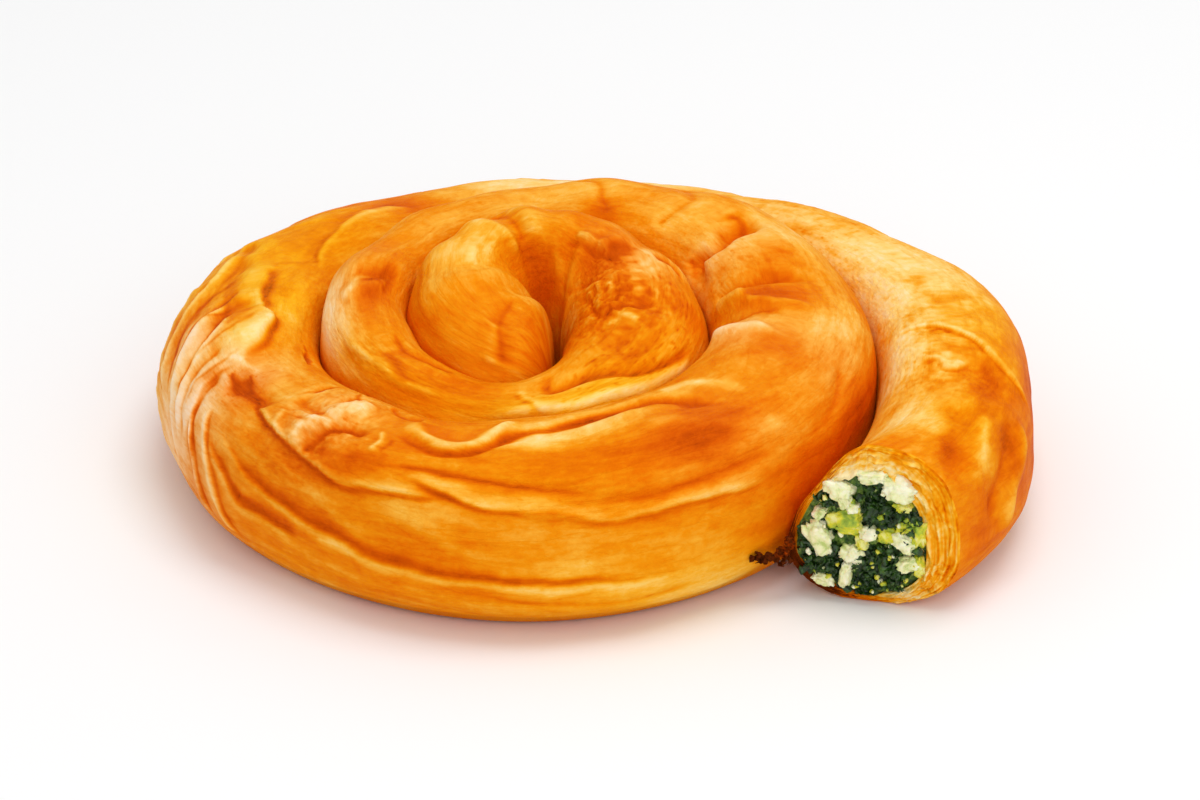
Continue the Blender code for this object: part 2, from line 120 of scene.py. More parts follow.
# Main folds, as in the solids: kind, height, width, how strongly its painted shade and highlight line is
# drawn, then the points as turn and lie. The raised side of a lap is on the left of its line, seen with the
# turn to the right.
FOLDS = (
    ("lap", 0.7, 4.5, 0.3, ((290, -10), (278, -9), (266, -6), (255, -5), (246, -2), (238, 2), (231, 8),
                            (227, 12), (221, 22), (214, 37))),
    ("crease", 0.5, 1.5, 0.2, ((216, 21), (220, 6), (225, 0), (234, -5))),
    ("lap", 0.9, 6.5, 0.45, ((216, 70), (220, 62), (228, 51), (235, 41), (240, 36), (246, 37), (255, 39))),
    ("lap", 0.5, 6.0, 0.35, ((247, 54), (252, 46), (260, 36), (270, 29), (279, 24), (291, 25), (306, 20))),
    ("crease", 0.5, 1.4, 0.4, ((245, 56), (251, 56), (259, 54), (270, 47), (278, 41))),
    ("ridge", 0.8, 1.2, 0.5, ((243, 94), (247, 89), (252, 80), (256, 80), (260, 92), (264, 107))),
    ("ridge", 1.3, 2.8, 0.6, ((612, 57), (626, 58), (640, 51), (654, 46), (668, 40), (684, 34))),
    ("crease", 1.0, 1.1, 0.7, ((245, 83), (251, 74), (257, 75), (262, 91), (271, 97), (280, 100), (290, 98),
                               (303, 80))),
    ("crease", 2.0, 2.2, 0.4, ((357, 146), (358, 122), (360, 103), (364, 84))),
    ("ridge", 1.6, 3.0, 0.5, ((352, 150), (350, 128), (351, 107))),
    ("ridge", 1.2, 3.0, 0.5, ((325, 138), (325, 123), (328, 108), (331, 90))),
    ("crease", 2.4, 2.2, 0.5, ((368, 152), (384, 136), (382, 113), (388, 95), (394, 82))),
    ("lap", 0.6, 9.0, 0.5, ((-14, 140), (-13, 104), (-15, 88), (-18, 74), (-20, 57), (-21, 43), (-22, 20))),
    ("crease", 0.9, 4.5, 0.0, ((-20, 84), (-24, 68), (-29, 46))),
    ("crease", 0.9, 3.0, 0.0, ((-33, 76), (-40, 64), (-46, 50), (-48, 36))),
    ("lap", 0.9, 8.0, 0.2, ((206, 84), (200, 93), (191, 106), (186, 99), (178, 97), (170, 95), (162, 92))),
    ("crease", 0.9, 2.4, 0.5, ((151, 61), (166, 74), (180, 67), (188, 47), (197, 22))),
    ("crease", 0.8, 2.6, 0.4, ((180, 96), (187, 85), (196, 65), (201, 38))),
    ("ridge", 0.7, 2.0, 0.2, ((189, 104), (195, 96), (201, 88), (207, 76))),
    ("crease", 1.0, 2.4, 0.6, ((208, 62), (212, 71), (217, 74), (220, 64))),
    ("ridge", 1.6, 3.4, 0.0, ((770, 90), (756, 88), (745, 86))),
    ("crease", 0.5, 0.9, 0.2, ((713, 132), (694, 124), (681, 118), (667, 104))),
    ("crease", 1.1, 1.4, 0.6, ((232, 46), (233, 56), (234, 68), (237, 77), (241, 74))),
    ("ridge", 1.1, 2.2, 0.4, ((230, 46), (230, 60), (231, 74), (233, 88), (237, 98))),
    ("crease", 0.9, 2.2, 0.2, ((536, 80), (537, 97), (536, 119))),
    ("ridge", 0.8, 2.2, 0.3, ((552, 73), (547, 83), (544, 96), (545, 108))),
    ("crease", 0.9, 1.8, 0.5, ((950, 103), (960, 80), (966, 61), (970, 40))),
    ("crease", 1.3, 1.2, 0.8, ((630, 100), (628, 92), (629, 84), (634, 81), (642, 77), (653, 69), (664, 56),
                               (675, 47), (688, 40))),
)

# Thin laps, creases and wrinkles that are too fine for the solids
FINE_FOLDS = (
    ("lap", 0.5, 3.0, 0.6, ((151, 48), (162, 62), (172, 62), (182, 46), (190, 26), (196, 6))),
    ("lap", 0.5, 3.0, 0.6, ((150, 30), (160, 46), (170, 48), (180, 32), (187, 12), (192, -10))),
    ("lap", 0.5, 3.0, 0.7, ((176, 92), (184, 79), (190, 62), (196, 40), (200, 14), (203, -12))),
    ("lap", 0.5, 2.4, 0.7, ((186, 90), (193, 74), (198, 54), (201, 30), (204, 6))),
    ("crease", 0.5, 1.0, 0.7, ((199, 80), (200, 68), (201, 50), (203, 30), (206, 8))),
    ("crease", 0.5, 1.0, 0.7, ((205, 72), (206, 54), (207, 34), (208, 12), (211, -8))),
    ("lap", 0.7, 3.0, 0.8, ((215, -27), (213, -6), (210, 12), (207, 30), (206, 44))),
    ("lap", 0.6, 2.6, 0.7, ((222, -28), (217, 2), (214, 18), (211, 34), (210, 46))),
    ("lap", 0.5, 2.6, 0.6, ((234, -6), (229, -4), (221, 2), (217, 14), (213, 26))),
    ("ridge", 0.3, 2.2, 0.3, ((222, 56), (225, 46), (231, 32), (237, 22), (243, 10), (247, 4))),
    ("ridge", 0.3, 2.2, 0.3, ((216, 48), (221, 36), (227, 26), (233, 18), (238, 12))),
    ("ridge", 0.3, 2.4, 0.3, ((248, 29), (253, 22), (257, 12), (265, 2), (275, -1), (286, 2))),
    ("crease", 0.7, 1.2, 0.6, ((223, 88), (226, 84), (230, 80), (231, 86))),
    ("crease", 0.6, 1.2, 0.4, ((223, 110), (223, 98), (224, 90))),
    ("crease", 0.6, 1.0, 0.5, ((231, 92), (231, 101), (234, 108))),
    ("ridge", 0.3, 0.8, 0.5, ((242, 63), (243, 70), (243, 76), (242, 84))),
    ("crease", 0.3, 0.7, 0.2, ((667, 104), (676, 103), (684, 94), (693, 86))),
    ("ridge", 0.4, 1.0, 0.5, ((228, 47), (225, 60), (224, 74))),
    ("crease", 0.8, 1.1, 0.8, ((201, 131), (205, 127), (210, 124))),
    ("crease", 0.7, 1.3, 0.5, ((237, 116), (241, 103), (246, 102))),
    ("lap", 0.3, 1.6, 0.4, ((619, 90), (622, 77), (625, 62), (628, 50))),
    ("crease", 0.8, 1.0, 0.6, ((739, 76), (737, 66), (734, 58), (730, 48))),
    ("crease", 0.9, 1.2, 0.7, ((376, 154), (385, 142), (389, 134))),
    ("ridge", 0.6, 1.4, 0.5, ((959, 82), (963, 58), (966, 37))),
    ("crease", 0.4, 1.2, 0.4, ((766, 150), (740, 135), (722, 118), (707, 99))),
    ("crease", 0.4, 1.2, 0.3, ((799, 116), (763, 109), (742, 99), (731, 94))),
    ("ridge", 0.6, 1.4, 0.4, ((790, 104), (768, 101), (750, 93))),
    ("crease", 0.9, 1.3, 0.8, ((398, 88), (394, 86), (388, 90), (382, 97))),
    ("ridge", 0.6, 1.8, 0.5, ((346, 116), (346, 104), (345, 94), (347, 86))),
    ("crease", 0.6, 2.0, 0.5, ((338, 146), (338, 124), (340, 104), (342, 90))),
    ("lap", 0.6, 3.0, 0.5, ((-24, 111), (-23, 99), (-25, 91), (-22, 80))),
    ("ridge", 0.4, 2.0, 0.3, ((-33, 60), (-37, 51), (-41, 43), (-46, 34))),
    ("crease", 0.6, 1.6, 0.4, ((-30, 43), (-34, 35), (-40, 22), (-45, 11))),
    ("ridge", 0.8, 1.8, 0.3, ((-27, 34), (-31, 24), (-36, 12), (-42, -2))),
    ("crease", 0.3, 1.2, 0.2, ((258, -14), (270, -21), (282, -27), (292, -25))),
    ("crease", 0.8, 2.0, 0.4, ((55, 86), (64, 78), (75, 76), (86, 72), (97, 71))),
    ("lap", 0.5, 3.0, 0.5, ((120, 92), (132, 90), (143, 96), (152, 104), (160, 116))),
    ("crease", 0.6, 1.6, 0.4, ((268, 40), (280, 34), (294, 38), (306, 34))),
    ("ridge", 0.5, 2.4, 0.4, ((283, 82), (293, 74), (303, 58), (310, 44))),
    ("crease", 0.5, 1.6, 0.3, ((302, 20), (312, 28), (322, 40), (330, 58))),
    ("crease", 0.6, 1.3, 0.5, ((572, 100), (582, 92), (590, 98), (600, 103))),
    ("ridge", 0.6, 1.6, 0.3, ((566, 60), (580, 66), (592, 62), (604, 70))),
    ("crease", 0.6, 1.6, 0.4, ((846, 60), (842, 80), (843, 100), (846, 122))),
    ("ridge", 0.8, 2.2, 0.4, ((866, 60), (862, 84), (862, 108), (866, 130))),
    ("crease", 0.5, 1.4, 0.3, ((446, 70), (438, 84), (433, 100), (430, 118))),
    ("crease", 0.5, 1.4, 0.3, ((418, 64), (411, 80), (408, 100), (409, 122))),
)

# Strokes on the tone: browning colour, painted shade along grooves and laps, painted highlights beside them.
# Amount, darker above zero, half width, then the points as turn and lie
STROKES = (
    (0.06, 1.4, ((248, 1), (240, 6), (235, 10), (230, 14), (226, 20), (222, 28))),
    (0.24, 0.45, ((262, -4), (254, -2), (247, 1), (240, 3), (234, 7), (229, 12), (224, 19))),
    (0.20, 0.45, ((280, -7), (270, -5), (262, -4), (254, -2))),
    (0.20, 0.6, ((218, 16), (221, 5), (225, 0), (231, -3))),
    (-0.08, 0.7, ((262, -8), (250, -7), (240, -3), (231, 4), (224, 13))),
    (0.28, 0.40, ((218, 64), (222, 57), (227, 51), (232, 44), (237, 37), (241, 33))),
    (0.24, 0.45, ((240, 34), (244, 36), (249, 37), (255, 38))),
    (0.32, 0.7, ((206, 73), (211, 68), (214, 70), (217, 68))),
    (0.36, 0.5, ((215, 74), (217, 69), (218, 64), (221, 58))),
    (0.36, 0.45, ((232, 47), (233, 53), (234, 61), (234, 69), (236, 75), (240, 77))),
    (0.12, 1.3, ((233, 46), (235, 53), (235, 62), (236, 69))),
    (-0.10, 1.0, ((231, 48), (231, 57), (230, 68), (231, 77), (233, 87))),
    (0.10, 2.0, ((239, 54), (243, 54), (247, 57))),
    (-0.10, 0.4, ((242, 64), (243, 70), (243, 75), (242, 83))),
    (0.16, 0.4, ((244, 64), (245, 71), (245, 77))),
    (-0.16, 0.8, ((247, 90), (250, 84), (253, 80), (256, 81), (258, 86), (260, 92), (262, 100))),
    (0.24, 0.4, ((245, 82), (248, 76), (252, 73), (256, 73), (259, 79), (261, 87))),
    (0.40, 0.5, ((260, 87), (263, 92), (267, 96), (272, 99), (277, 101), (284, 100))),
    (0.16, 0.4, ((246, 55), (251, 56), (259, 54), (268, 49))),
    (0.30, 0.5, ((250, 49), (254, 43), (259, 36), (264, 33), (270, 31), (277, 25))),
    (-0.14, 0.8, ((249, 54), (255, 49), (262, 41), (272, 36), (284, 30))),
    (-0.20, 1.0, ((626, 57), (640, 51), (653, 46), (660, 42))),
    (-0.24, 1.2, ((292, 108), (299, 106), (304, 96), (309, 84))),
    (0.20, 0.35, ((708, 128), (697, 124), (685, 121), (673, 110))),
    (0.16, 0.35, ((672, 107), (680, 100), (687, 91), (693, 84))),
    (0.12, 0.30, ((664, 92), (669, 90), (673, 84))),
    (0.12, 0.30, ((653, 91), (659, 93), (664, 90))),
    (0.12, 0.30, ((680, 111), (689, 103), (699, 98))),
    (-0.14, 0.6, ((662, 100), (672, 96), (681, 88))),
    (0.20, 1.2, ((740, 100), (747, 93), (753, 84))),
    (0.30, 0.5, ((395, 144), (389, 145), (385, 144))),
    (-0.18, 0.30, ((-13, 96), (-14, 90), (-17, 79), (-19, 68), (-20, 57), (-21, 45), (-20, 34))),
    (0.22, 0.4, ((-15, 103), (-14, 96), (-15, 90))),
    (0.10, 1.4, ((-20, 84), (-22, 70), (-23, 58), (-23, 44), (-22, 30))),
    (0.12, 1.9, ((-33, 84), (-37, 75), (-41, 66), (-45, 54), (-48, 42), (-49, 28))),
    (-0.08, 1.0, ((-34, 58), (-37, 52), (-40, 45), (-44, 37))),
    (0.16, 0.8, ((-22, 106), (-24, 103), (-26, 101))),
    (0.30, 0.7, ((166, 94), (170, 97), (176, 99), (182, 101), (186, 104))),
    (0.12, 0.4, ((168, 84), (176, 86), (184, 89))),
    (0.12, 0.4, ((170, 78), (180, 81), (190, 86))),
    (0.20, 0.5, ((189, 107), (196, 103), (201, 95), (204, 90))),
    (-0.06, 0.8, ((189, 101), (194, 98), (199, 93))),
    (0.12, 0.5, ((166, 92), (162, 96), (158, 106), (155, 114))),
    (0.22, 0.5, ((544, 88), (542, 93), (544, 99), (548, 106))),
    (-0.16, 0.8, ((549, 82), (541, 86), (539, 93))),
    (0.50, 0.8, ((536, 142), (538, 146), (544, 146), (551, 142))),
    (0.30, 0.4, ((197, 132), (202, 131), (207, 130))),
    (0.20, 1.6, ((579, 84), (586, 77), (594, 62))),
    (0.20, 0.4, ((222, 88), (223, 96), (223, 107), (225, 111))),
    (0.24, 0.5, ((229, 119), (230, 108), (232, 100))),
    (0.26, 0.4, ((206, 36), (209, 20), (211, 2), (213, -10), (214, -20))),
    (0.20, 0.4, ((212, 27), (214, 20), (216, 15), (219, 9))),
    (0.22, 0.4, ((181, 92), (186, 83), (188, 66), (192, 52), (196, 38))),
    (0.22, 0.4, ((188, 98), (194, 84), (197, 65), (199, 46), (201, 30))),
    (0.22, 0.4, ((202, 88), (203, 67), (203, 48), (204, 33), (206, 18))),
    (0.22, 0.4, ((205, 78), (205, 60), (206, 42), (208, 26))),
    (0.26, 0.45, ((197, 18), (194, 33), (189, 45), (184, 55), (181, 63), (174, 77), (168, 87))),
    (0.14, 0.9, ((200, 30), (200, 46), (199, 62), (198, 80))),
    (0.12, 0.8, ((190, 72), (191, 85), (188, 91), (185, 96))),
    (0.16, 0.9, ((184, 80), (181, 87), (178, 91))),
    (0.18, 0.7, ((203, 93), (200, 98), (194, 105), (190, 109))),
    (-0.14, 0.8, ((201, 92), (196, 98), (191, 103))),
    (-0.20, 0.5, ((202, 72), (203, 79), (206, 84), (210, 87))),
    (0.44, 0.35, ((209, 76), (211, 77), (214, 73), (218, 68))),
    (0.40, 0.35, ((206, 74), (208, 70), (211, 71))),
    (0.36, 0.3, ((209, 82), (211, 79), (212, 75))),
    (0.14, 0.5, ((190, 57), (189, 65), (187, 76))),
    (0.14, 0.8, ((204, 33), (204, 46), (204, 60), (204, 70))),
)

# How folds end and how far they reach, and the foot of a lap
FOLD_TAPER = 0.16
FOLD_REACH_TURN = 24.0
LAP_FOOT = 0.7

# Painted shade and highlight that folds draw: strengths of shade and highlight, half width of the lines, the
# painted shadow lines of a lap as place, half width and share, its painted highlight's place and half width,
# then the painted highlight on a ridge and the painted shadow of a crease as shares of its width
LINE_SHADE = 0.26
LINE_HIGHLIGHT = 0.20
LINE_HALF = 0.38
LAP_SHADOWS = ((-0.35, 0.38, 1.0), (-1.1, 1.3, 0.25))
LAP_LIGHT_PLACE = 0.6
LAP_LIGHT_HALF = 0.532
RIDGE_LIGHT_WIDTH = 0.5
CREASE_SHADOW_WIDTH = 0.7
CREASE_SHADOW_SHARE = 0.3

# Where the deepest browns and the palest creams begin to level off, and how far they still go
DEEP_FROM = 0.66
DEEP_SPAN = 0.22
PALE_FROM = 0.30
PALE_SPAN = 0.22

# Where the relief fades, in lie or in the sine of the lie: from nothing to full
BASE_FADE = (-0.75, -0.35)
OUTSIDE_SEAM_FADE = (20.0, 50.0)
INSIDE_SEAM_FADE = (158.0, 128.0)
EYE_FADE = (165.0, 125.0)
SEAM_STARTS = (290.0, 314.0)
EYE_STARTS = (620.0, 644.0)

# Slow unevenness of the roll: height, then waves to a degree of turn and of lie, and phase
SWELLS = ((0.45, 2.7, 0.0, 40.0), (0.35, 7.3, 2.0, 0.0), (0.25, 11.9, -1.0, 0.0))

# Shallow folds drawn by rule on the back and the outer flank, as in the solids
DRAWN_FOLDS = 14
DRAWN_SEED = 11
DRAWN_TURNS = (10.0, 160.0)
DRAWN_LIES = (0.0, 75.0)
DRAWN_LENGTHS = (18.0, 36.0)
DRAWN_CLIMB = 22.0
DRAWN_HEIGHTS = (0.6, 1.1)
DRAWN_WIDTHS = (1.8, 2.8)
DRAWN_POINTS = 4
DRAWN_BEND = 0.8
DRAWN_STRENGTH = 0.4

# Large whole numbers that scramble a grid point's place into a fixed random number, and the noise's gain
SCRAMBLE = (374761393, 668265263, 974634777, 1274126177)
SCRAMBLE_MASK = 0x7FFFFFFF
SCRAMBLE_TOP = 0xFFFF
NOISE_GAIN = 1.5

# Layers of noise: amount, reach along and round the roll in mm, seed. The first three are for the folds.
WANDER_TURN = ((0.45, 5.0, 5.0, 31),)
WANDER_LIE = ((1.5, 5.0, 5.0, 32),)
FOLD_UNEVEN = ((0.35, 6.0, 6.0, 33),)
RELIEF_DRIFT = ((3.5, 34.0, 26.0, 1),)
RELIEF_LUMPS = ((0.50, 19.0, 15.0, 7),)
RELIEF_WAVES = ((0.16, 11.0, 5.0, 5),)
LAYER_FIELD = ((2.2, 30.0, 14.0, 4),)
FLAKE_FIELD = ((2.4, 6.0, 5.0, 11),)
TONE_DRIFT = ((4.0, 30.0, 22.0, 24),)
TONE_CLOUDS = ((0.09, 26.0, 15.0, 21), (0.06, 9.0, 5.0, 22))
TONE_STREAKS = ((0.06, 14.0, 2.6, 23), (0.04, 7.0, 1.1, 25))
TONE_FLAKES = ((0.16, 5.5, 4.0, 26), (0.096, 1.6, 1.3, 27))
TONE_WRINKLES = ((0.14, 2.4, 1.6, 28), (0.14, 0.9, 0.8, 29))
FLECK_FIELD = ((1.0, 1.1, 0.7, 30),)

# Sharp wrinkles: reach along and round in mm, shift, seed, then how deep the noise is folded over
COARSE_CRUMPLE = (5.5, 4.4, 3.0, 9)
FINE_CRUMPLE = (2.6, 2.2, 0.0, 10)
CRUMPLE_DEPTH = 1.8

# Heights of the fine relief in mm, the climb of thin layers along the roll, their spacing and thin edges
RELIEF_CLIMB = 0.16
CRUMPLE_HEIGHTS = (0.34, 0.24)
LAYER_HEIGHTS = (0.05, 0.16)
LAYER_SPACING = 7.0
LAYER_EDGE = 0.14
FLAKE_HEIGHT = 0.10
FLAKE_CRUMPLE = 0.08
FLAKE_EDGE = 0.3

# The browning: the golden tone, the streaks' climb, the weight of its spots of browning and painted light,
# and how dark the flecks are
GOLDEN = 0.50
TONE_CLIMB = 0.10
SPOT_WEIGHT = 0.8
FLECK_TONE = 0.55
FLECK_FROM = 0.30

# Painted highlight on raised places and painted shade in hollows: amount, reach in points of the grid, and
# the height that counts in full
RELIEF_LIGHT_AND_SHADE = ((0.08, 4, 0.20), (0.05, 20, 1.0))

# Painted shade under the groove of a neighbouring turn, and a paler tone beside it: amount, then its lies
# and turns
UNDER_SEAM_SHADE = 0.16
UNDER_SEAM_LIES = (12.0, 34.0)
BESIDE_SEAM_TONE = -0.04
BESIDE_SEAM_LIE = 48.0
BESIDE_SEAM_HALF = 15.0
BESIDE_SEAM_BEGINS = (370.0, 400.0)
BESIDE_SEAM_ENDS = (590.0, 610.0)

# Spots where the pastry is paler (below zero) or darker: mostly browning, some painted shade on the right
# flank and in recesses by creases, and some painted highlights on ridges. Turn, lie, reach along and round,
# amount
BROWNING_AND_LIGHT_SPOTS = (
    (1, 122, 16, 12, -0.50), (-22, 126, 12, 9, -0.40), (12, 82, 16, 8, -0.28), (-38, 106, 10, 7, -0.34),
    (24, 118, 14, 9, -0.34), (48, 104, 16, 9, -0.26), (72, 87, 16, 7, -0.26), (92, 84, 14, 5, -0.26),
    (341, 60, 9, 8, -0.22), (375, 66, 10, 7, -0.26), (402, 110, 9, 7, -0.26), (377, 123, 8, 7, -0.20),
    (326, 118, 6, 5, -0.24), (196, 72, 10, 8, -0.24), (204, 32, 9, 9, -0.36), (176, 88, 8, 5, -0.18),
    (200, -8, 12, 8, -0.34), (548, 60, 10, 6, -0.34), (557, 38, 8, 5, -0.24), (891, 98, 7, 4, -0.34),
    (836, 106, 5, 4, -0.22), (905, 70, 6, 4, -0.26), (268, 88, 7, 3, -0.42), (280, 92, 7, 3, -0.28),
    (249, 32, 4, 3, -0.24), (257, 30, 5, 3, -0.14), (266, 26, 7, 3, -0.14), (271, 0, 8, 4, -0.08),
    (283, -4, 9, 5, -0.10), (284, -32, 14, 5, -0.10), (232, 57, 4, 4, -0.12), (234, 88, 5, 4, -0.14),
    (221, 82, 4, 4, -0.12), (211, 96, 5, 4, -0.14), (219, 56, 3, 2.5, -0.20), (742, 83, 5, 4, -0.26),
    (640, 62, 6, 3, -0.08), (-27, 61, 7, 6, 0.16), (-44, 52, 2, 7, 0.18), (-34, 34, 3, 6, 0.14),
    (-45, 6, 5, 6, 0.18), (328, 22, 8, 4, 0.30), (540, 104, 5, 3, 0.34), (549, 92, 5, 1.5, 0.24),
    (211, 74, 2.4, 2.2, 0.50), (237, 58, 5, 4, 0.16), (243, 55, 6, 3, 0.20), (238, 44, 5, 3, 0.18),
    (228, 28, 6, 6, 0.10), (282, 66, 20, 7, 0.10), (268, 64, 14, 5, 0.08), (295, 66, 9, 4.5, 0.40),
    (307, -14, 6, 7, 0.34), (296, -32, 10, 7, -0.22), (349, 97, 5, 5, 0.36), (324, 88, 5, 4, 0.16),
    (369, 88, 6, 5, 0.16), (702, 54, 2, 5, 0.26), (590, 54, 9, 5, 0.22), (606, 86, 7, 5, 0.16),
    (432, 114, 4, 4, 0.34), (748, 92, 4, 3, 0.42), (745, 117, 6, 5, 0.26), (845, 145, 6, 8, 0.40),
    (176, 100, 3, 3, 0.26), (150, 94, 8, 4, 0.20), (122, 90, 6, 4, 0.22), (689, 103, 6, 5, 0.16),
    (993, 89, 5, 7, 0.22), (310, 52, 12, 7, 0.06), (84, 92, 34, 7, -0.22), (450, 90, 24, 7, -0.18),
    (204, 0, 12, 8, 0.04), (-34, 26, 6, 6, 0.16), (-24, 89, 4, 3, -0.12), (-46, 72, 3, 4, 0.10),
    (4, 102, 5, 3, 0.16), (-2, 92, 4, 3, 0.16), (-12, 60, 4, 7, 0.14), (206, -6, 8, 8, 0.10),
    (196, 30, 10, 14, -0.10), (824, 148, 8, 5, 0.16), (657, 75, 5, 3, 0.18), (186, 118, 10, 5, -0.08),
    # (-14, 10) is painted shade on the right flank
    (312, 70, 14, 8, -0.06), (-20, 36, 14, 18, 0.08), (-14, 10, 18, 8, 0.30), (695, 100, 12, 10, 0.08),
)

# Where the crust has a rosy cast (above zero) or a yellow one: turn, lie, reach along and round, amount
CAST = (
    (196, 66, 14, 10, 0.8), (204, 20, 12, 12, 0.8), (205, -15, 14, 8, 0.9), (548, 60, 12, 8, 0.6),
    (326, 118, 8, 6, 0.7), (232, 70, 8, 10, 0.6), (742, 90, 7, 8, 0.5), (377, 120, 9, 8, 0.4),
    (180, 112, 18, 9, -1.0), (150, 96, 16, 8, -0.8), (162, 60, 14, 8, -0.5), (268, 60, 12, 6, -0.3),
    (-36, 60, 10, 8, -0.5), (-10, 60, 14, 10, -0.5), (300, 40, 12, 8, 0.2), (330, 60, 10, 10, 0.3),
    (860, 100, 12, 10, -0.3), (590, 60, 14, 8, -0.3), (10, 120, 30, 16, -0.2), (211, 75, 4, 4, 1.0),
    (196, 92, 4, 3, -0.8), (199, 58, 4, 12, -0.5), (643, 56, 14, 7, -0.9), (295, 66, 9, 5, 0.4),
    (284, -30, 24, 9, -0.6),
)

# Flaking, wrinkling and layering patches: turn, lie, reach along and round, amount
FLAKY = ((4, 118, 34, 16, 1.0), (-24, 104, 18, 14, 0.7), (55, 96, 26, 12, 0.7), (345, 50, 16, 8, 0.5),
         (892, 96, 12, 6, 0.7), (556, 52, 12, 6, 0.5), (695, 100, 14, 12, 1.0), (282, 94, 12, 4, 0.6))
WRINKLED = ((232, 74, 9, 12, 1.0), (690, 100, 11, 11, 0.9), (990, 84, 6, 9, 0.8), (362, 108, 10, 12, 0.35),
            (733, 112, 9, 9, 0.5), (588, 80, 12, 8, 0.35))
LAYERED = ((194, 40, 16, 16, 1.0), (208, -6, 16, 12, 1.0), (150, 40, 30, 14, 0.8), (100, 40, 40, 12, 0.6),
           (40, 30, 40, 12, 0.5), (232, 0, 14, 10, 0.6))

# Where fine dark flecks of crust gather: turn, lie, reach along and round, amount
FLECKED = ((640, 78, 10, 4, 1.0), (668, 54, 12, 4, 1.0), (695, 100, 12, 10, 0.7), (738, 108, 8, 8, 0.6),
           (210, 75, 6, 6, 0.9), (24, 112, 30, 14, 0.6), (-24, 104, 10, 8, 0.5), (232, 78, 8, 10, 0.5),
           (380, 120, 12, 12, 0.5), (206, 20, 8, 12, 0.4))

# The cut rim: how many points across the wall and round it, and how deep in mm it lines the bore
RIM_STEPS = 44
RIM_ROUND = 440
RIM_LINING = (1.5, 4.0, 8.0)
RIM_CAST = -0.6
RIM_LINING_TONE = 0.25
RIM_FLOW = 12.0

# The rim's thin sheets: number, where the first one lies, half thickness as a share of the wall, height
RIM_SHEETS = 4
RIM_SEED = 3
RIM_SHEET_START = 0.35
RIM_SHEET_HALF = 0.07
RIM_STAND = (0.5, 1.5)
RIM_LEVEL = 0.6

# How a sheet wanders in the wall, how its height varies and how ragged it is: amount, reach, step, seed
RIM_SHEET_NOISE = ((0.20, 6.0, 1.0, 42), (1.1, 2.6, 7.0, 43), (0.35, 0.7, 3.0, 44))

# The rim's layers: amount, reach round in mm, number through the wall, seed
RIM_ROUGH = ((0.25, 2.6, 8.0, 41), (0.12, 0.7, 12.0, 47))
RIM_STREAKS = ((0.20, 3.0, 5.0, 46), (0.24, 7.0, 15.0, 48), (0.14, 0.7, 9.0, 49))
RIM_SHIFTS = ((0.30, 1.2, 6.0, 45),)
RIM_FRINGE_RAGS = ((0.5, 1.6, 2.0, 50),)

# The wall that carries the sheets at their full height, and the least share of it elsewhere
RIM_FULL_WALL = 3.5
RIM_LEAST = 0.3

# The rim's tone: outside, across the wall, where it is raised, then parts as amount, lie and spread. Its
# brown part is dark crust and painted shade beside the coil.
RIM_TONE = 0.56
RIM_TONE_INWARDS = -0.20
RIM_RAISED = (-0.14, -0.5, 1.0)
RIM_CREAM = (-0.34, 100.0, 38.0)
RIM_BROWN_AND_SHADE = (1.05, 208.0, 50.0)
RIM_LOW = (-0.24, 300.0, 20.0)

# The rim's thin fringe over the filling: lie of its middle, its spread, and its reach as a share of the wall
RIM_FRINGE = (98.0, 42.0, 0.42)

# Thin dark scraps of crust beside the cut, their darkest tone partly painted shade: across, up, size, how
# far they stand out, how brown
SCRAPS = ((-18.2, -3.2, 0.6, 6.0, 1.1), (-17.2, -3.0, 1.0, 5.6, 1.15), (-16.4, -3.6, 1.0, 5.2, 1.1),
          (-15.4, -3.2, 0.9, 4.6, 1.04), (-14.4, -3.8, 0.9, 3.8, 1.02), (-13.4, -3.0, 1.2, 2.8, 1.0),
          (-12.8, -4.6, 1.1, 2.0, 1.04), (-12.4, -1.4, 1.1, 2.2, 0.98), (-13.6, -5.2, 0.8, 2.6, 1.08))
SCRAP_SEED = 5

# The cut face of the filling: points from its middle out and round it, the share left open in the middle,
# how far it stands out, how it calms and sinks near its edge, and the share that crumbs and leaves keep to
FACE_STEPS = 110
FACE_ROUND = 260
FACE_OPEN = 0.004
FACE_STAND = -0.3
FACE_CALM = 0.5
FACE_SUNK = 0.5
FACE_KEPT = 0.93

# The filling behind the face: clearance near the cut, its first rings, and the sparser ones behind them
BED_CLEARANCE = 0.1
BED_RINGS = (1.0, 12.0, 10)
BED_BACK_DEPTH = 14.0
BED_BACK_RINGS = 230
BED_BACK_EVERY = 8

# The bed's lumps as a layer of noise, then its crumples: height, reach, seed
BED_LUMPS = ((0.9, 3.0, 3.0, 51),)
BED_CRUMPLES = ((0.6, 1.3, 52), (0.35, 0.6, 53))

# The roughness of cheese: amount and fineness, and how square its lumps are
CHEESE_ROUGH = ((0.42, 1.3), (0.30, 2.9), (0.16, 6.5), (0.07, 15.0))
CHEESE_SQUARE = 0.8

# How far the lumps of each kind of cheese stand out, and their half depth
CHEESE_DEPTH = (0.7, 1.5)
TINTED_DEPTH = (0.3, 1.3)
LUMP_FINENESS = 4
LUMP_SEEDS = (10.0, 7.3)

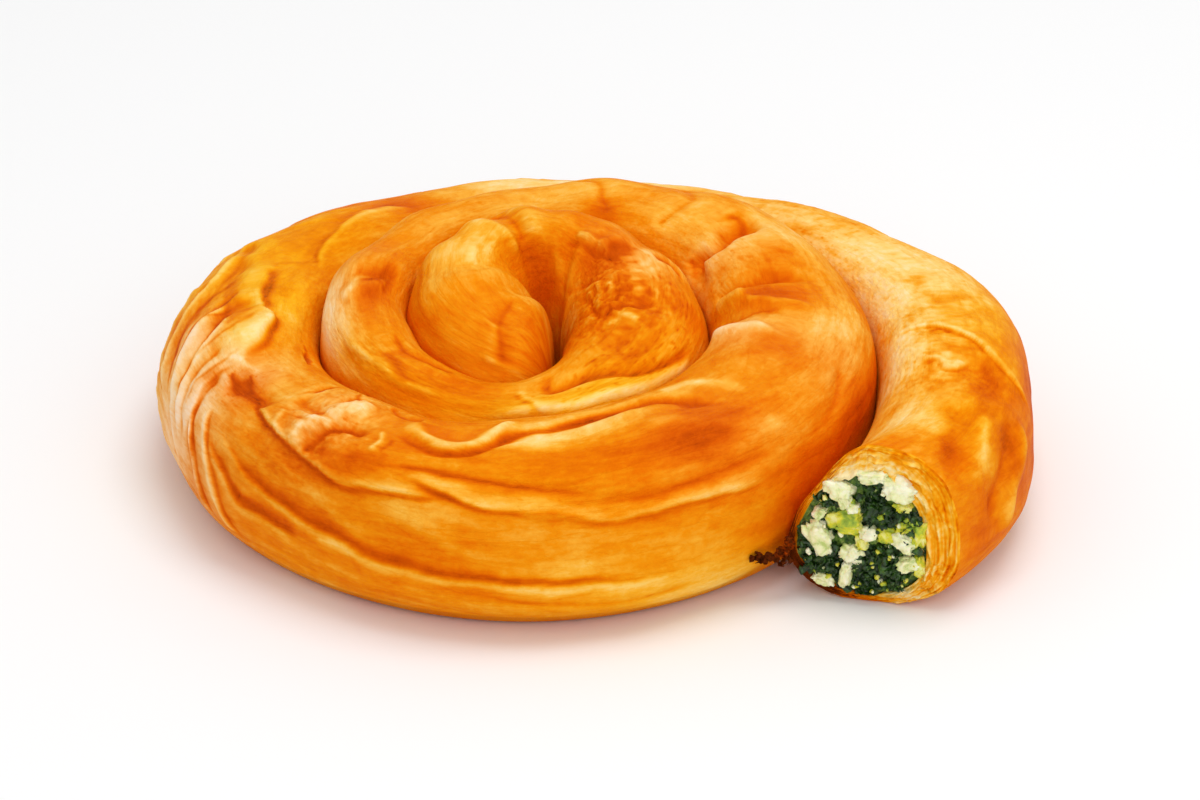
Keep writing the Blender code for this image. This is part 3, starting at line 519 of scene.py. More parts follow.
# Lumps of white cheese at the cut, from its middle: across, up, half width, half height, tilt in degrees
CHEESE = (
    (-4.1, 9.3, 2.5, 1.7, -18.0), (-3.1, 7.3, 1.1, 1.4, 10.0), (6.3, 10.5, 2.9, 1.8, -16.0),
    (-7.5, -0.2, 1.8, 3.1, 20.0), (-1.7, -2.8, 1.9, 1.6, -20.0), (-2.7, -6.6, 1.0, 2.4, -8.0),
    (-6.7, -8.1, 1.9, 0.9, -16.0), (7.3, 0.4, 2.0, 1.4, -26.0), (8.1, -3.4, 1.8, 1.4, 30.0),
    (1.1, 1.6, 1.5, 1.2, 30.0), (-7.6, 4.3, 1.3, 0.9, 40.0), (1.6, 12.6, 2.6, 1.0, 6.0),
    (-1.8, 6.2, 1.1, 0.9, 0.0),
)
CHEESE_TINTED = (
    (-2.8, 3.4, 3.0, 2.2, 4.0), (4.9, 1.2, 2.3, 1.4, -8.0), (0.1, -0.3, 1.3, 1.3, 0.0),
    (6.9, 7.2, 1.4, 0.8, 0.0), (9.6, 2.2, 1.3, 2.6, 0.0), (9.8, -3.6, 0.9, 2.0, 10.0),
    (7.0, 3.4, 1.5, 0.9, 20.0),
)

# Small crumbs of cheese among the leaves: how many of each kind, half sizes, flatness and how they stand out
CRUMBS = 30
CRUMBS_TINTED = 44
CRUMB_SIZES = (0.22, 0.62)
CRUMB_FLATNESS = (0.6, 1.0)
CRUMB_STAND = (0.5, 1.3)
CRUMB_REACH = 11.5
CRUMB_FINENESS = 2
CRUMB_SEEDS = (40.0, 3.1)
CRUMB_SEED = 21

# Dark clumps of spinach between them: across, up, reach
LEAF_CLUMPS = (
    (1.7, 8.4, 3.0), (2.8, 5.0, 2.5), (9.8, 8.4, 1.7), (7.7, 4.2, 2.0), (-8.2, -5.0, 3.6),
    (-10.6, -4.0, 2.2), (-5.4, -4.6, 2.4), (3.0, -4.0, 4.0), (1.0, -7.8, 3.0), (5.0, -6.6, 2.6),
    (-6.1, 6.3, 1.8), (-11.0, -0.8, 1.8), (-3.6, -9.6, 2.0), (9.6, -1.4, 1.4), (-5.0, 0.6, 1.2),
)
LEAVES_FOR_REACH = 2.8
LEAVES_POWER = 1.5
LEAF_SEED = 8

# A leaf: points along a side, sizes, how far it stands out, width, round corners, half thickness, lean, and
# its waves and curls as height and fineness
LEAF_GRID = 9
LEAF_SIZES = (0.8, 1.9)
LEAF_STAND = (-0.4, 0.9)
LEAF_WIDTH = 0.75
LEAF_ROUND = 0.25
LEAF_HALF_THICK = 0.14
LEAF_LEAN = 1.1
LEAF_SHIFT = 50.0
LEAF_WAVE = (1.1, 1.5)
LEAF_CURL = (0.5, 3.2)


def srgb(red, green, blue):
    """A colour given as the eye sees it on a screen, from 0 to 255, as linear values."""
    values = [channel / 255.0 for channel in (red, green, blue)]
    return tuple(v / 12.92 if v <= 0.04045 else ((v + 0.055) / 1.055) ** 2.4 for v in values) + (1.0,)


BLACK = (0.0, 0.0, 0.0, 1.0)
WHITE = (1.0, 1.0, 1.0, 1.0)

# Colours of the crust from its palest to its brownest: plain, with a rosy cast and with a yellow one
FILO_STOPS = (
    (0.00, srgb(255, 234, 184)),
    (0.18, srgb(255, 210, 120)),
    (0.34, srgb(250, 177, 58)),
    (0.48, srgb(242, 143, 12)),
    (0.62, srgb(233, 114, 2)),
    (0.78, srgb(217, 90, 1)),
    (0.90, srgb(196, 74, 1)),
    # The darkest stop is painted shade as well as dark crust, reached at the rim's base beside the coil and
    # on the scraps
    (1.00, srgb(92, 38, 10)),
)
ROSY_STOPS = (
    (0.00, srgb(255, 232, 206)),
    (0.20, srgb(255, 204, 146)),
    (0.38, srgb(246, 166, 84)),
    (0.56, srgb(237, 126, 26)),
    (0.78, srgb(214, 86, 6)),
    (1.00, srgb(166, 54, 4)),
)
YELLOW_STOPS = (
    (0.00, srgb(255, 238, 176)),
    (0.20, srgb(255, 214, 100)),
    (0.38, srgb(252, 184, 26)),
    (0.56, srgb(244, 152, 2)),
    (0.78, srgb(224, 112, 1)),
    (1.00, srgb(120, 46, 4)),
)

# The crust's fine patterns: stretch along, round and through, then scale, detail, roughness and distortion
CRUST_STREAKS = ((0.16, 1.0, 1.0), 0.9, 5.0, 0.6, 0.6)
CRUST_MOTTLE = ((1.0, 1.0, 1.0), 0.32, 6.0, 0.62, 0.0)
CRUST_GRAIN = ((0.6, 1.0, 1.0), 1.1, 5.0, 0.72, 0.3)
CRUST_VEINS = ((0.10, 0.5, 1.0), 0.6, 3.0, 0.55, 0.8)
VEIN_STOPS = ((0.47, BLACK), (0.495, WHITE), (0.52, BLACK))

# What the patterns change: the tone by streaks, mottle and grain, the tone by veins, shine and relief
CRUST_TONES = (0.20, 0.26, 0.26)
VEIN_TONE = 0.04
CRUST_ROUGHNESS = (0.30, 0.30)
GRAIN_RELIEF = 0.8
VEIN_RELIEF = 0.12
CRUST_BUMP = (0.60, 0.0005)

# Foods of the filling. Patches and grain: scale, detail, roughness, distortion. Bump: strength, distance.
BED_LOOK = {
    "patches": (420.0, 4.0, 0.6, 0.5), "grain": (2200.0, 4.0, 0.6, 0.0), "bump": (0.6, 0.0004),
    "stops": ((0.30, srgb(18, 38, 6)), (0.45, srgb(42, 80, 18)), (0.55, srgb(104, 138, 44)),
              (0.64, srgb(188, 202, 110)), (0.74, srgb(232, 236, 198))),
}
WHITE_CHEESE_LOOK = {
    "patches": (420.0, 4.0, 0.6, 0.4), "grain": (1800.0, 5.0, 0.65, 0.0), "bump": (0.4, 0.0004),
    "stops": ((0.40, srgb(254, 252, 218)), (0.54, srgb(240, 240, 180)), (0.68, srgb(190, 206, 116))),
}
TINTED_CHEESE_LOOK = {
    "patches": (420.0, 4.0, 0.6, 0.4), "grain": (1800.0, 5.0, 0.65, 0.0), "bump": (0.4, 0.0004),
    "stops": ((0.36, srgb(238, 236, 150)), (0.48, srgb(222, 214, 34)), (0.60, srgb(160, 184, 50)),
              (0.74, srgb(70, 116, 30))),
}
SPINACH_LOOK = {
    "patches": (700.0, 4.0, 0.6, 0.4), "grain": (2600.0, 3.0, 0.6, 0.0), "bump": (0.5, 0.0003),
    "stops": ((0.30, srgb(12, 30, 6)), (0.50, srgb(30, 62, 12)), (0.66, srgb(66, 106, 30)),
              (0.80, srgb(140, 168, 56))),
}

# The surface that the pastry lies on: half its size in mm, how far it lies below in metres, and its colour
FLOOR_HALF = 3000.0
FLOOR_DROP = 0.0002
FLOOR_COLOUR = (0.95, 0.95, 0.95, 1.0)

# Round lights that face the middle of the surface: name, width in metres, power in watts, place in metres
LIGHTS = (("key", 0.60, 3.0, (0.14, 0.03, 0.89)), ("front", 0.7, 1.5, (0.16, -0.79, 0.45)))
WORLD_STRENGTH = 0.67

# The camera: what it looks at and how far off it is in mm, its height in degrees, its lens and its far limit
CAMERA_AIM = (1.08, 1.80, 9.5)
CAMERA_ELEVATION = 27.0
CAMERA_DISTANCE = 900.0
FOCAL_PIXELS = 4950.0
FRAME_PIXELS = 1200.0
SENSOR_MM = 36.0
CAMERA_LIMIT = 20.0


def ease(share):
    """A share from 0 to 1 that starts and stops softly."""
    share = np.clip(share, 0.0, 1.0)
    return share * share * (3.0 - 2.0 * share)


def faded(value, ends):
    """0 at the first end and before it, 1 at the second end and past it."""
    return ease((value - ends[0]) / (ends[1] - ends[0]))


def between(ends, share):
    """A value some share of the way from the first end to the second."""
    return ends[0] + share * (ends[1] - ends[0])


def band(value, half, middle=0.0):
    """1 at the middle, falling off smoothly on both sides."""
    return np.exp(-((value - middle) / half) ** 2)


def curved(before, here, after, beyond, part):
    """A value part of the way from here to after, on a smooth curve through all four."""
    bend = 2.0 * before - 5.0 * here + 4.0 * after - beyond
    twist = 3.0 * here - before - 3.0 * after + beyond
    return here + 0.5 * part * ((after - before) + part * (bend + part * twist))


def along(values, turn, first=CUT_TURN):
    """A list's value at a turn, read off a smooth curve through its values at each eighth of a turn."""
    values = np.asarray(values, float)
    last = len(values) - 1
    place = np.clip((turn - first) / EIGHTH, 0.0, last - TINY)
    low = place.astype(int)
    before, beyond = values[np.maximum(low - 1, 0)], values[np.minimum(low + 2, last)]
    return curved(before, values[low], values[low + 1], beyond, place - low)


def edges(turn):
    """Radius of the roll's outer edge, and of its inner edge, which touches the next turn in or the eye."""
    outer = along(OUTER_EDGE, turn)
    next_in = along(OUTER_EDGE, turn + 360.0)
    free = along(EYE_EDGE, turn, EYE_TURN)
    return outer, between((next_in, free), faded(turn + 360.0, EYE_OPENS))


def tip_size(turn):
    """How much of the section is left near the tucked-in tip."""
    share = np.clip((TIP_TURN - turn) / TIP_SPAN, 0.0, 1.0)
    return TIP_LEAST + (1.0 - TIP_LEAST) * np.sqrt(share * (2.0 - share))


def shoulder(turn, lie):
    """How square the section is: round on its free sides, squarer where a neighbouring turn presses."""
    outside = np.cos(np.radians(lie)) > 0.0
    pressed = np.where(outside, faded(turn, PRESSED_OUTSIDE), 1.0 - faded(turn, PRESSED_INSIDE))
    above = np.sin(np.radians(lie)) > 0.0
    return ROUNDNESS + (PRESSED_ROUNDNESS - ROUNDNESS) * pressed * above


def ended(turn):
    """1 at the cut, falling to 0 where the last stretch begins."""
    return 1.0 - ease((turn - CUT_TURN) / CUT_SPAN)


def blended(turn, plain, at_cut):
    """A size that is plain along the coil and changes to another at the cut."""
    return plain + (at_cut - plain) * ended(turn)


def corner(turn, lie, plain, slant):
    """The exponent of the section's curve. At the cut it slants the upper inner side and rounds the base."""
    inside = np.cos(np.radians(lie)) <= 0.0
    above = np.sin(np.radians(lie)) > 0.0
    at_cut = np.where(above, np.where(inside, slant, plain), CUT_BASE_ROUNDNESS)
    return blended(turn, plain, at_cut)


def walls(turn, outside, clearance):
    """Thickness of the pastry at the side, the top and the base, with a clearance for the filling."""
    side = blended(turn, WALL_SIDE, np.where(outside, CUT_WALL_OUTER, CUT_WALL_INNER))
    top = blended(turn, WALL_TOP, CUT_WALL_TOP)
    base = blended(turn, WALL_BASE, CUT_WALL_BASE)
    return side + clearance, top + clearance, base + clearance


def section(turn, lie, clearance=None):
    """Distance from the roll's middle and height of a point of the skin, or of the bore with a clearance."""
    outer, inner = edges(turn)
    height = along(TOP_HEIGHT, turn)
    size = tip_size(turn)
    outside = np.cos(np.radians(lie)) > 0.0
    side = top = base = 0.0
    drop, roundness = blended(turn, BASE_DROP, CUT_DROP), corner(turn, lie, shoulder(turn, lie), CUT_SLANT)
    if clearance is not None:
        side, top, base = walls(turn, outside, clearance)
        drop, roundness = 1.0, corner(turn, lie, FILLING_ROUNDNESS, CUT_BORE_SLANT)
    share = np.where(outside, 1.0, blended(turn, 1.0, CUT_INNER_SHARE))
    press = TURN_PRESS + EYE_PRESS * faded(turn, EYE_PRESS_FROM)
    half = ((outer - inner + press) / 2.0 * share - side) * size
    middle = blended(turn, WIDEST, CUT_WIDEST) * height
    angle = np.radians(lie)
    across = np.sign(np.cos(angle)) * np.abs(np.cos(angle)) ** (2.0 / roundness)
    upright = np.sign(np.sin(angle)) * np.abs(np.sin(angle)) ** (2.0 / roundness)
    rise = np.where(upright > 0.0, height - middle - top, drop * middle - base) * size
    return half * across, np.maximum(middle + rise * upright, base)


def placed(turn, out, height):
    """Points in space. The last stretch before the cut is swung to face the front and steps back from it."""
    outer, inner = edges(turn)
    swing = np.radians(CUT_SWING) * ended(turn)
    centre = (outer + inner) / 2.0 + CUT_SHIFT * ended(turn)
    round_coil = np.radians(turn)
    oblique = out / np.cos(swing)
    back_x, back_y, _ = -CUT_BACK * cut_normal()
    x = EYE[0] + centre * np.cos(round_coil) + oblique * np.cos(round_coil + swing) + back_x * ended(turn)
    y = EYE[1] + centre * np.sin(round_coil) + oblique * np.sin(round_coil + swing) + back_y * ended(turn)
    return np.stack([x, y, height], -1)


def cut_normal():
    """The direction that the cut face looks in."""
    facing = math.radians(CUT_TURN + CUT_SWING)
    return np.array([math.sin(facing), -math.cos(facing), 0.0])


def cut_across():
    """The level direction along the cut face, towards the outer side of the coil."""
    facing = math.radians(CUT_TURN + CUT_SWING)
    return np.array([math.cos(facing), math.sin(facing), 0.0])


def lengths_passed(last, outer_share):
    """Turns from the cut to a last one and the length passed at each, on the middle line or further out."""
    fine = np.linspace(CUT_TURN, last, FINE_STEPS)
    outer, inner = edges(fine)
    reach = between(((outer + inner) / 2.0, outer), outer_share)
    return fine, np.concatenate([[0.0], np.cumsum(reach[1:] * np.diff(np.radians(fine)))])


def passed_mm(turn):
    """Length of the roll's middle line from the cut to a turn."""
    return np.interp(turn, *lengths_passed(TIP_TURN, 0.0))


def signed_distance(turn, lie, points):
    """Distance in mm from a fold's line, positive on its left, the share of it passed, and its length."""
    ring = float(np.mean(edges(np.array([turn_at for turn_at, _ in points], float))))
    scale = np.radians(np.array([ring, MEAN_RADIUS]))
    line = np.array(points, float) * scale
    here = np.stack([turn * scale[0], lie * scale[1]], -1)
    lengths = np.linalg.norm(np.diff(line, axis=0), axis=1)
    passed = np.concatenate([[0.0], np.cumsum(lengths)])
    best = np.full(turn.shape, FAR)
    side = np.zeros(turn.shape)
    share = np.zeros(turn.shape)
    for start, end, length, before in zip(line[:-1], line[1:], lengths, passed):
        way = (end - start) / length
        offset = here - start
        run = np.clip(offset @ way, 0.0, length)
        gap = np.linalg.norm(offset - run[..., None] * way, axis=-1)
        nearer = gap < best
        best = np.where(nearer, gap, best)
        cross = way[0] * offset[..., 1] - way[1] * offset[..., 0]
        side = np.where(nearer, np.sign(cross), side)
        share = np.where(nearer, (before + run) / passed[-1], share)
    return best * side, share, passed[-1]


def smooth_line(points):
    """A fold's points with more between them on a smooth curve, so that its line has no corners."""
    line = np.array(points, float)
    padded = np.vstack([2.0 * line[0] - line[1], line, 2.0 * line[-1] - line[-2]])
    smooth = [curved(*four, part) for four in zip(padded[:-3], padded[1:-2], padded[2:-1], padded[3:])
              for part in np.arange(LINE_STEPS) / LINE_STEPS]
    return smooth + [line[-1]]


def tapered(share, width, length):
    """1 along a line, falling to 0 at its ends over a stretch that suits its width."""
    stretch = min(max(FOLD_TAPER, width / length), 0.5)
    return ease(share / stretch) * ease((1.0 - share) / stretch)


def fold_shape(turn, lie, fold):
    """A fold's height in mm and its line's tone, painted shade and highlight, darker above zero."""
    kind, height, width, strength, points = fold
    distance, share, length = signed_distance(turn, lie, smooth_line(points))
    taper = tapered(share, width, length)
    if kind == "lap":
        behind = np.maximum(distance - LAP_FOOT / 2.0, 0.0)
        rise = height * taper * ease(distance / LAP_FOOT + 0.5) * np.exp(-behind / width)
        # Painted shadow below a lap's edge and a painted highlight just above it
        dark = sum(part * band(distance, half, place) for place, half, part in LAP_SHADOWS)
        pale = band(distance, LAP_LIGHT_HALF, LAP_LIGHT_PLACE)
        return rise, strength * taper * (LINE_SHADE * dark - LINE_HIGHLIGHT * pale)
    rise = height * taper * band(distance, width)
    # A ridge gets a painted highlight, a crease a painted shadow
    if kind == "ridge":
        return rise, -strength * taper * LINE_HIGHLIGHT * band(distance, RIDGE_LIGHT_WIDTH * width)
    shadow = CREASE_SHADOW_SHARE * band(distance, CREASE_SHADOW_WIDTH * width)
    return -rise, strength * taper * LINE_SHADE * (band(distance, LINE_HALF) + shadow)


def drawn_folds():
    """Long shallow creases on the back and the outer flank of the outermost turn."""
    draw = random.Random(DRAWN_SEED)
    folds = []
    for _ in range(DRAWN_FOLDS):
        turn = draw.uniform(*DRAWN_TURNS)
        lie = draw.uniform(*DRAWN_LIES)
        length = draw.uniform(*DRAWN_LENGTHS)
        climb = draw.uniform(-DRAWN_CLIMB, DRAWN_CLIMB)
        height = draw.uniform(*DRAWN_HEIGHTS)
        width = draw.uniform(*DRAWN_WIDTHS)
        points = tuple((turn + length * step / (DRAWN_POINTS - 1), lie + climb * math.sin(step * DRAWN_BEND))
                       for step in range(DRAWN_POINTS))
        folds.append(("crease", height, width, DRAWN_STRENGTH, points))
    return folds


def swell(turn, lie):
    """The slow unevenness of hand-rolled pastry."""
    return sum(height * np.sin(np.radians(by_turn * turn + by_lie * lie + phase))
               for height, by_turn, by_lie, phase in SWELLS)


def lattice(column, row, seed):
    """A fixed number from 0 to 1 for each point of a whole-numbered grid."""
    mixed = (column * SCRAMBLE[0] + row * SCRAMBLE[1] + seed * SCRAMBLE[2]) & SCRAMBLE_MASK
    mixed = ((mixed ^ (mixed >> 13)) * SCRAMBLE[3]) & SCRAMBLE_MASK
    return ((mixed ^ (mixed >> 16)) & SCRAMBLE_TOP) / float(SCRAMBLE_TOP)


def noise(x, y, seed):
    """Smooth gradient noise, about -1 to 1, over a plane."""
    column, row = np.floor(x).astype(np.int64), np.floor(y).astype(np.int64)
    part_x, part_y = x - column, y - row

    def pull(step_x, step_y):
        angle = 2.0 * math.pi * lattice(column + step_x, row + step_y, seed)
        return np.cos(angle) * (part_x - step_x) + np.sin(angle) * (part_y - step_y)

    blend_x = part_x ** 3 * (part_x * (6.0 * part_x - 15.0) + 10.0)
    blend_y = part_y ** 3 * (part_y * (6.0 * part_y - 15.0) + 10.0)
    low = between((pull(0, 0), pull(1, 0)), blend_x)
    high = between((pull(0, 1), pull(1, 1)), blend_x)
    return NOISE_GAIN * between((low, high), blend_y)


def layers(length, across, table):
    """The sum of a table's layers of noise."""
    return sum(amount * noise(length / reach_along, across / reach_round, seed)
               for amount, reach_along, reach_round, seed in table)


def crumpled(length, across, pattern):
    """Wrinkles with sharp crests, from noise that is folded over."""
    reach_along, reach_round, shift, seed = pattern
    return 0.5 - np.abs(noise(length / reach_along + shift, across / reach_round, seed)) * CRUMPLE_DEPTH


def sheets(field, sharp):
    """Overlapping sheets: the height climbs slowly across a smooth field, then drops at a thin edge."""
    part = field - np.floor(field)
    return np.where(part < 1.0 - sharp, part / (1.0 - sharp), (1.0 - part) / sharp)


def from_top(lie):
    """Length in mm round the roll's section, from its top."""
    return np.radians(lie - 90.0) * MEAN_RADIUS


def spots(turn, lie, places):
    """The sum of soft spots on the skin, each at a turn and lie with a reach and an amount."""
    total = np.zeros(turn.shape)
    for at_turn, at_lie, reach_along, reach_round, amount in places:
        outer, inner = edges(np.array([float(at_turn)]))
        ring = float(outer[0] + inner[0]) / 2.0
        run = np.radians(turn - at_turn) * ring / reach_along
        rise = np.radians(lie - at_lie) * MEAN_RADIUS / reach_round
        total += amount * np.exp(-(run * run + rise * rise))
    return total


def patches(turn, lie, places):
    """Soft patches of the skin, from 0 to 1."""
    return np.clip(spots(turn, lie, places), 0.0, 1.0)


def fine_relief(turn, lie, length):
    """Wrinkles, thin layers and flakes too fine for the solids, each in the patches that have them."""
    across = from_top(lie)
    drift = across + layers(length, across, RELIEF_DRIFT) + RELIEF_CLIMB * length
    flaky = patches(turn, lie, FLAKY)
    coarse, fine = crumpled(length, across, COARSE_CRUMPLE), crumpled(length, across, FINE_CRUMPLE)
    thin_layers = sheets(layers(length, drift, LAYER_FIELD) + drift / LAYER_SPACING, LAYER_EDGE)
    flakes = sheets(layers(length, across, FLAKE_FIELD), FLAKE_EDGE)
    relief = layers(length, across, RELIEF_LUMPS) + layers(length, drift, RELIEF_WAVES)
    relief += patches(turn, lie, WRINKLED) * (CRUMPLE_HEIGHTS[0] * coarse + CRUMPLE_HEIGHTS[1] * fine)
    relief += (LAYER_HEIGHTS[0] + LAYER_HEIGHTS[1] * patches(turn, lie, LAYERED)) * (thin_layers - 0.5)
    return relief + flaky * (FLAKE_HEIGHT * (flakes - 0.5) + FLAKE_CRUMPLE * fine)


def relief_mask(turn, lie):
    """1 where the skin is free. It fades where the roll rests and where turns touch."""
    off_base = faded(np.sin(np.radians(lie)), BASE_FADE)
    at_seam, at_eye = faded(turn, SEAM_STARTS), faded(turn, EYE_STARTS)
    off_outside = 1.0 - at_seam * (1.0 - faded(lie, OUTSIDE_SEAM_FADE))
    off_inside = faded(lie, INSIDE_SEAM_FADE) * (1.0 - at_eye) + faded(lie, EYE_FADE) * at_eye
    off_tip = ease((TIP_TURN - turn) / TIP_SPAN)
    return off_base * off_outside * off_inside * off_tip


def rings_near(ring_turns, points):
    """The rings that a line's fold can reach."""
    line_turns = [turn_at for turn_at, _ in points]
    first = int(np.searchsorted(ring_turns, min(line_turns) - FOLD_REACH_TURN))
    last = int(np.searchsorted(ring_turns, max(line_turns) + FOLD_REACH_TURN))
    return slice(first, last)


def add_folds(turn, lie, length, relief, tone):
    """Lay every fold and stroke on the relief and the tone, with the folds' painted shade and highlight. Its
    line wanders a little, as pastry does.
    """
    across = from_top(lie)
    wander_turn = turn + layers(length, across, WANDER_TURN)
    wander_lie = lie + layers(length, across, WANDER_LIE)
    uneven = 1.0 + layers(length, across, FOLD_UNEVEN)
    ring_turns = turn[:, 0]
    for fold in FOLDS + FINE_FOLDS + tuple(drawn_folds()):
        part = rings_near(ring_turns, fold[-1])
        rise, line = fold_shape(wander_turn[part], wander_lie[part], fold)
        relief[part] += rise * uneven[part]
        tone[part] += line * uneven[part]
    # The strokes add browning, painted shade and painted highlights to the tone
    for amount, half, points in STROKES:
        part = rings_near(ring_turns, points)
        distance, share, way = signed_distance(wander_turn[part], wander_lie[part], smooth_line(points))
        tone[part] += amount * tapered(share, half, way) * band(distance, half) * uneven[part]


def skin_points(turn, lie, push):
    """Points of the skin, pushed out along the section."""
    out, height = section(turn, lie)
    out_after, height_after = section(turn, lie + LIE_STEP)
    out_before, height_before = section(turn, lie - LIE_STEP)
    along_out, along_height = out_after - out_before, height_after - height_before
    length = np.hypot(along_out, along_height) + TINY
    out = out + push * along_height / length
    height = np.maximum(height - push * along_out / length, 0.0)
    return placed(turn, out, height)


def even_turns(last, count):
    """Turns from the cut to a last one, spaced evenly along the roll."""
    fine, passed = lengths_passed(last, RING_OUTER_SHARE)
    return np.interp(np.linspace(0.0, passed[-1], count), passed, fine)


def skin_grid():
    """Turn and lie of every point of the skin. Rings are denser where the roll shows."""
    turns = even_turns(TIP_TURN, RINGS)
    low = between(SHOWN_FROM, faded(turns, COVERED_TURNS))
    high = between(SHOWN_TO, faded(turns, EYE_TURNS))
    shown = np.linspace(0.0, 1.0, SHOWN_LIES)
    hidden = np.linspace(0.0, 1.0, HIDDEN_LIES + 2)[1:-1]
    lie_shown = low[:, None] + (high - low)[:, None] * shown
    lie_hidden = high[:, None] + (360.0 + low - high)[:, None] * hidden
    lies = np.concatenate([lie_shown, lie_hidden], axis=1)
    return turns[:, None] + 0.0 * lies, lies


def blurred(grid, reach):
    """A grid's running mean over a square of points."""
    for axis in (0, 1):
        padding = [(0, 0), (0, 0)]
        padding[axis] = (reach + 1, reach)
        total = np.cumsum(np.pad(grid, padding, mode="edge"), axis=axis)
        width = 2 * reach + 1
        upper = np.take(total, np.arange(width, total.shape[axis]), axis=axis)
        lower = np.take(total, np.arange(0, total.shape[axis] - width), axis=axis)
        grid = (upper - lower) / width
    return grid


def seam_tone(turn, lie):
    """Painted shade under the groove that a neighbouring turn makes, and a little paler beside it."""
    under = faded(turn, SEAM_STARTS) * (1.0 - faded(lie, UNDER_SEAM_LIES))
    beside = faded(turn, BESIDE_SEAM_BEGINS) * (1.0 - faded(turn, BESIDE_SEAM_ENDS))
    return UNDER_SEAM_SHADE * under + BESIDE_SEAM_TONE * beside * band(lie, BESIDE_SEAM_HALF, BESIDE_SEAM_LIE)


def levelled(tone):
    """The tone with its deepest browns and palest creams levelled off."""
    deeper, paler = np.maximum(tone - DEEP_FROM, 0.0), np.maximum(PALE_FROM - tone, 0.0)
    tone = np.clip(tone, PALE_FROM, DEEP_FROM)
    return tone + DEEP_SPAN * np.tanh(deeper / DEEP_SPAN) - PALE_SPAN * np.tanh(paler / PALE_SPAN)


def tone_with_painted_light(turn, lie, length, push, lines):
    """How brown the skin is: 0 cream, 0.5 golden, 1 dark brown. Raised places are paler as painted
    highlight, hollows deeper as painted shade.
    """
    across = from_top(lie)
    drift = across + layers(length, across, TONE_DRIFT) + TONE_CLIMB * length
    # The lines carry the folds' painted shade and highlights and the strokes
    tone = GOLDEN + lines + layers(length, across, TONE_CLOUDS) + layers(length, drift, TONE_STREAKS)
    # Spots of browning, with some painted shade and painted highlights
    tone += SPOT_WEIGHT * spots(turn, lie, BROWNING_AND_LIGHT_SPOTS)
    tone += patches(turn, lie, FLAKY) * layers(length, across, TONE_FLAKES)
    tone += patches(turn, lie, WRINKLED) * layers(length, across, TONE_WRINKLES)
    flecks = np.maximum(layers(length, across, FLECK_FIELD) - FLECK_FROM, 0.0)
    tone += FLECK_TONE * patches(turn, lie, FLECKED) * flecks
    # Painted highlight on raised places, painted shade in hollows
    for amount, reach, full in RELIEF_LIGHT_AND_SHADE:
        tone -= amount * np.clip((push - blurred(push, reach)) / full, -1.0, 1.0)
    return levelled(tone + seam_tone(turn, lie))


def new_mesh(name, points, quads, material, normals=None, attributes=None):
    """A mesh piece from points in mm and faces of one size. Normals are one for each point."""
    data = bpy.data.meshes.new(name)
    quads = np.asarray(quads, np.int32)
    data.vertices.add(len(points))
    data.vertices.foreach_set("co", (np.asarray(points) * METRES).astype(np.float32).ravel())
    data.loops.add(quads.size)
    data.loops.foreach_set("vertex_index", quads.ravel())
    data.polygons.add(len(quads))
    data.polygons.foreach_set("loop_start", np.arange(0, quads.size, quads.shape[1], dtype=np.int32))
    data.update(calc_edges=True)
    data.validate()
    data.shade_smooth()
    for key, values in (attributes or {}).items():
        values = np.asarray(values, np.float32)
        kind = "FLOAT" if values.ndim == 1 else "FLOAT_VECTOR"
        field = "value" if values.ndim == 1 else "vector"
        data.attributes.new(key, kind, "POINT").data.foreach_set(field, values.ravel())
    if normals is not None:
        data.normals_split_custom_set_from_vertices(np.asarray(normals).tolist())
    data.materials.append(material)
    thing = bpy.data.objects.new(name, data)
    bpy.context.scene.collection.objects.link(thing)
    return thing


def grid_quads(rows, columns, closed):
    """Faces of a grid of points, numbered row by row. A closed grid's rows are rings."""
    numbers = np.arange(rows * columns).reshape(rows, columns)
    after = np.roll(numbers, -1, axis=1) if closed else numbers[:, 1:]
    here = numbers if closed else numbers[:, :-1]
    return np.stack([here[:-1], after[:-1], after[1:], here[1:]], -1).reshape(-1, 4)


def wall_ring(turn, lies, clearance=0.0):
    """A ring of points on the bore, or inside it by a clearance."""
    turns = np.full(len(lies), turn)
    out, height = section(turns, lies, clearance)
    return placed(turns, out, height)


def behind_cut(depth):
    """The turn that lies some depth in mm behind the cut."""
    return CUT_TURN + math.degrees(depth / OUTER_EDGE[0])


def make_skin():
    """The whole skin as a grid, with its normals and the values that its material reads."""
    turn, lie = skin_grid()
    length = passed_mm(turn)
    push = swell(turn, lie) + fine_relief(turn, lie, length)
    lines = np.zeros(turn.shape)
    add_folds(turn, lie, length, push, lines)
    mask = relief_mask(turn, lie)
    push *= mask
    points = skin_points(turn, lie, push)
    run = np.gradient(points, axis=0)
    rise = np.roll(points, -1, axis=1) - np.roll(points, 1, axis=1)
    normals = np.cross(run, rise)
    normals /= np.linalg.norm(normals, axis=-1, keepdims=True) + TINY
    # Tone of browning with painted shade and painted highlights
    browning_and_light = tone_with_painted_light(turn, lie, length, push, lines * mask)
    cast = np.clip(spots(turn, lie, CAST), -1.0, 1.0)
    flow = np.stack([length, from_top(lie), np.zeros_like(length)], -1)
    return {"lie": lie, "points": points, "normals": normals, "browning_and_light": browning_and_light, "cast": cast, "flow": flow}


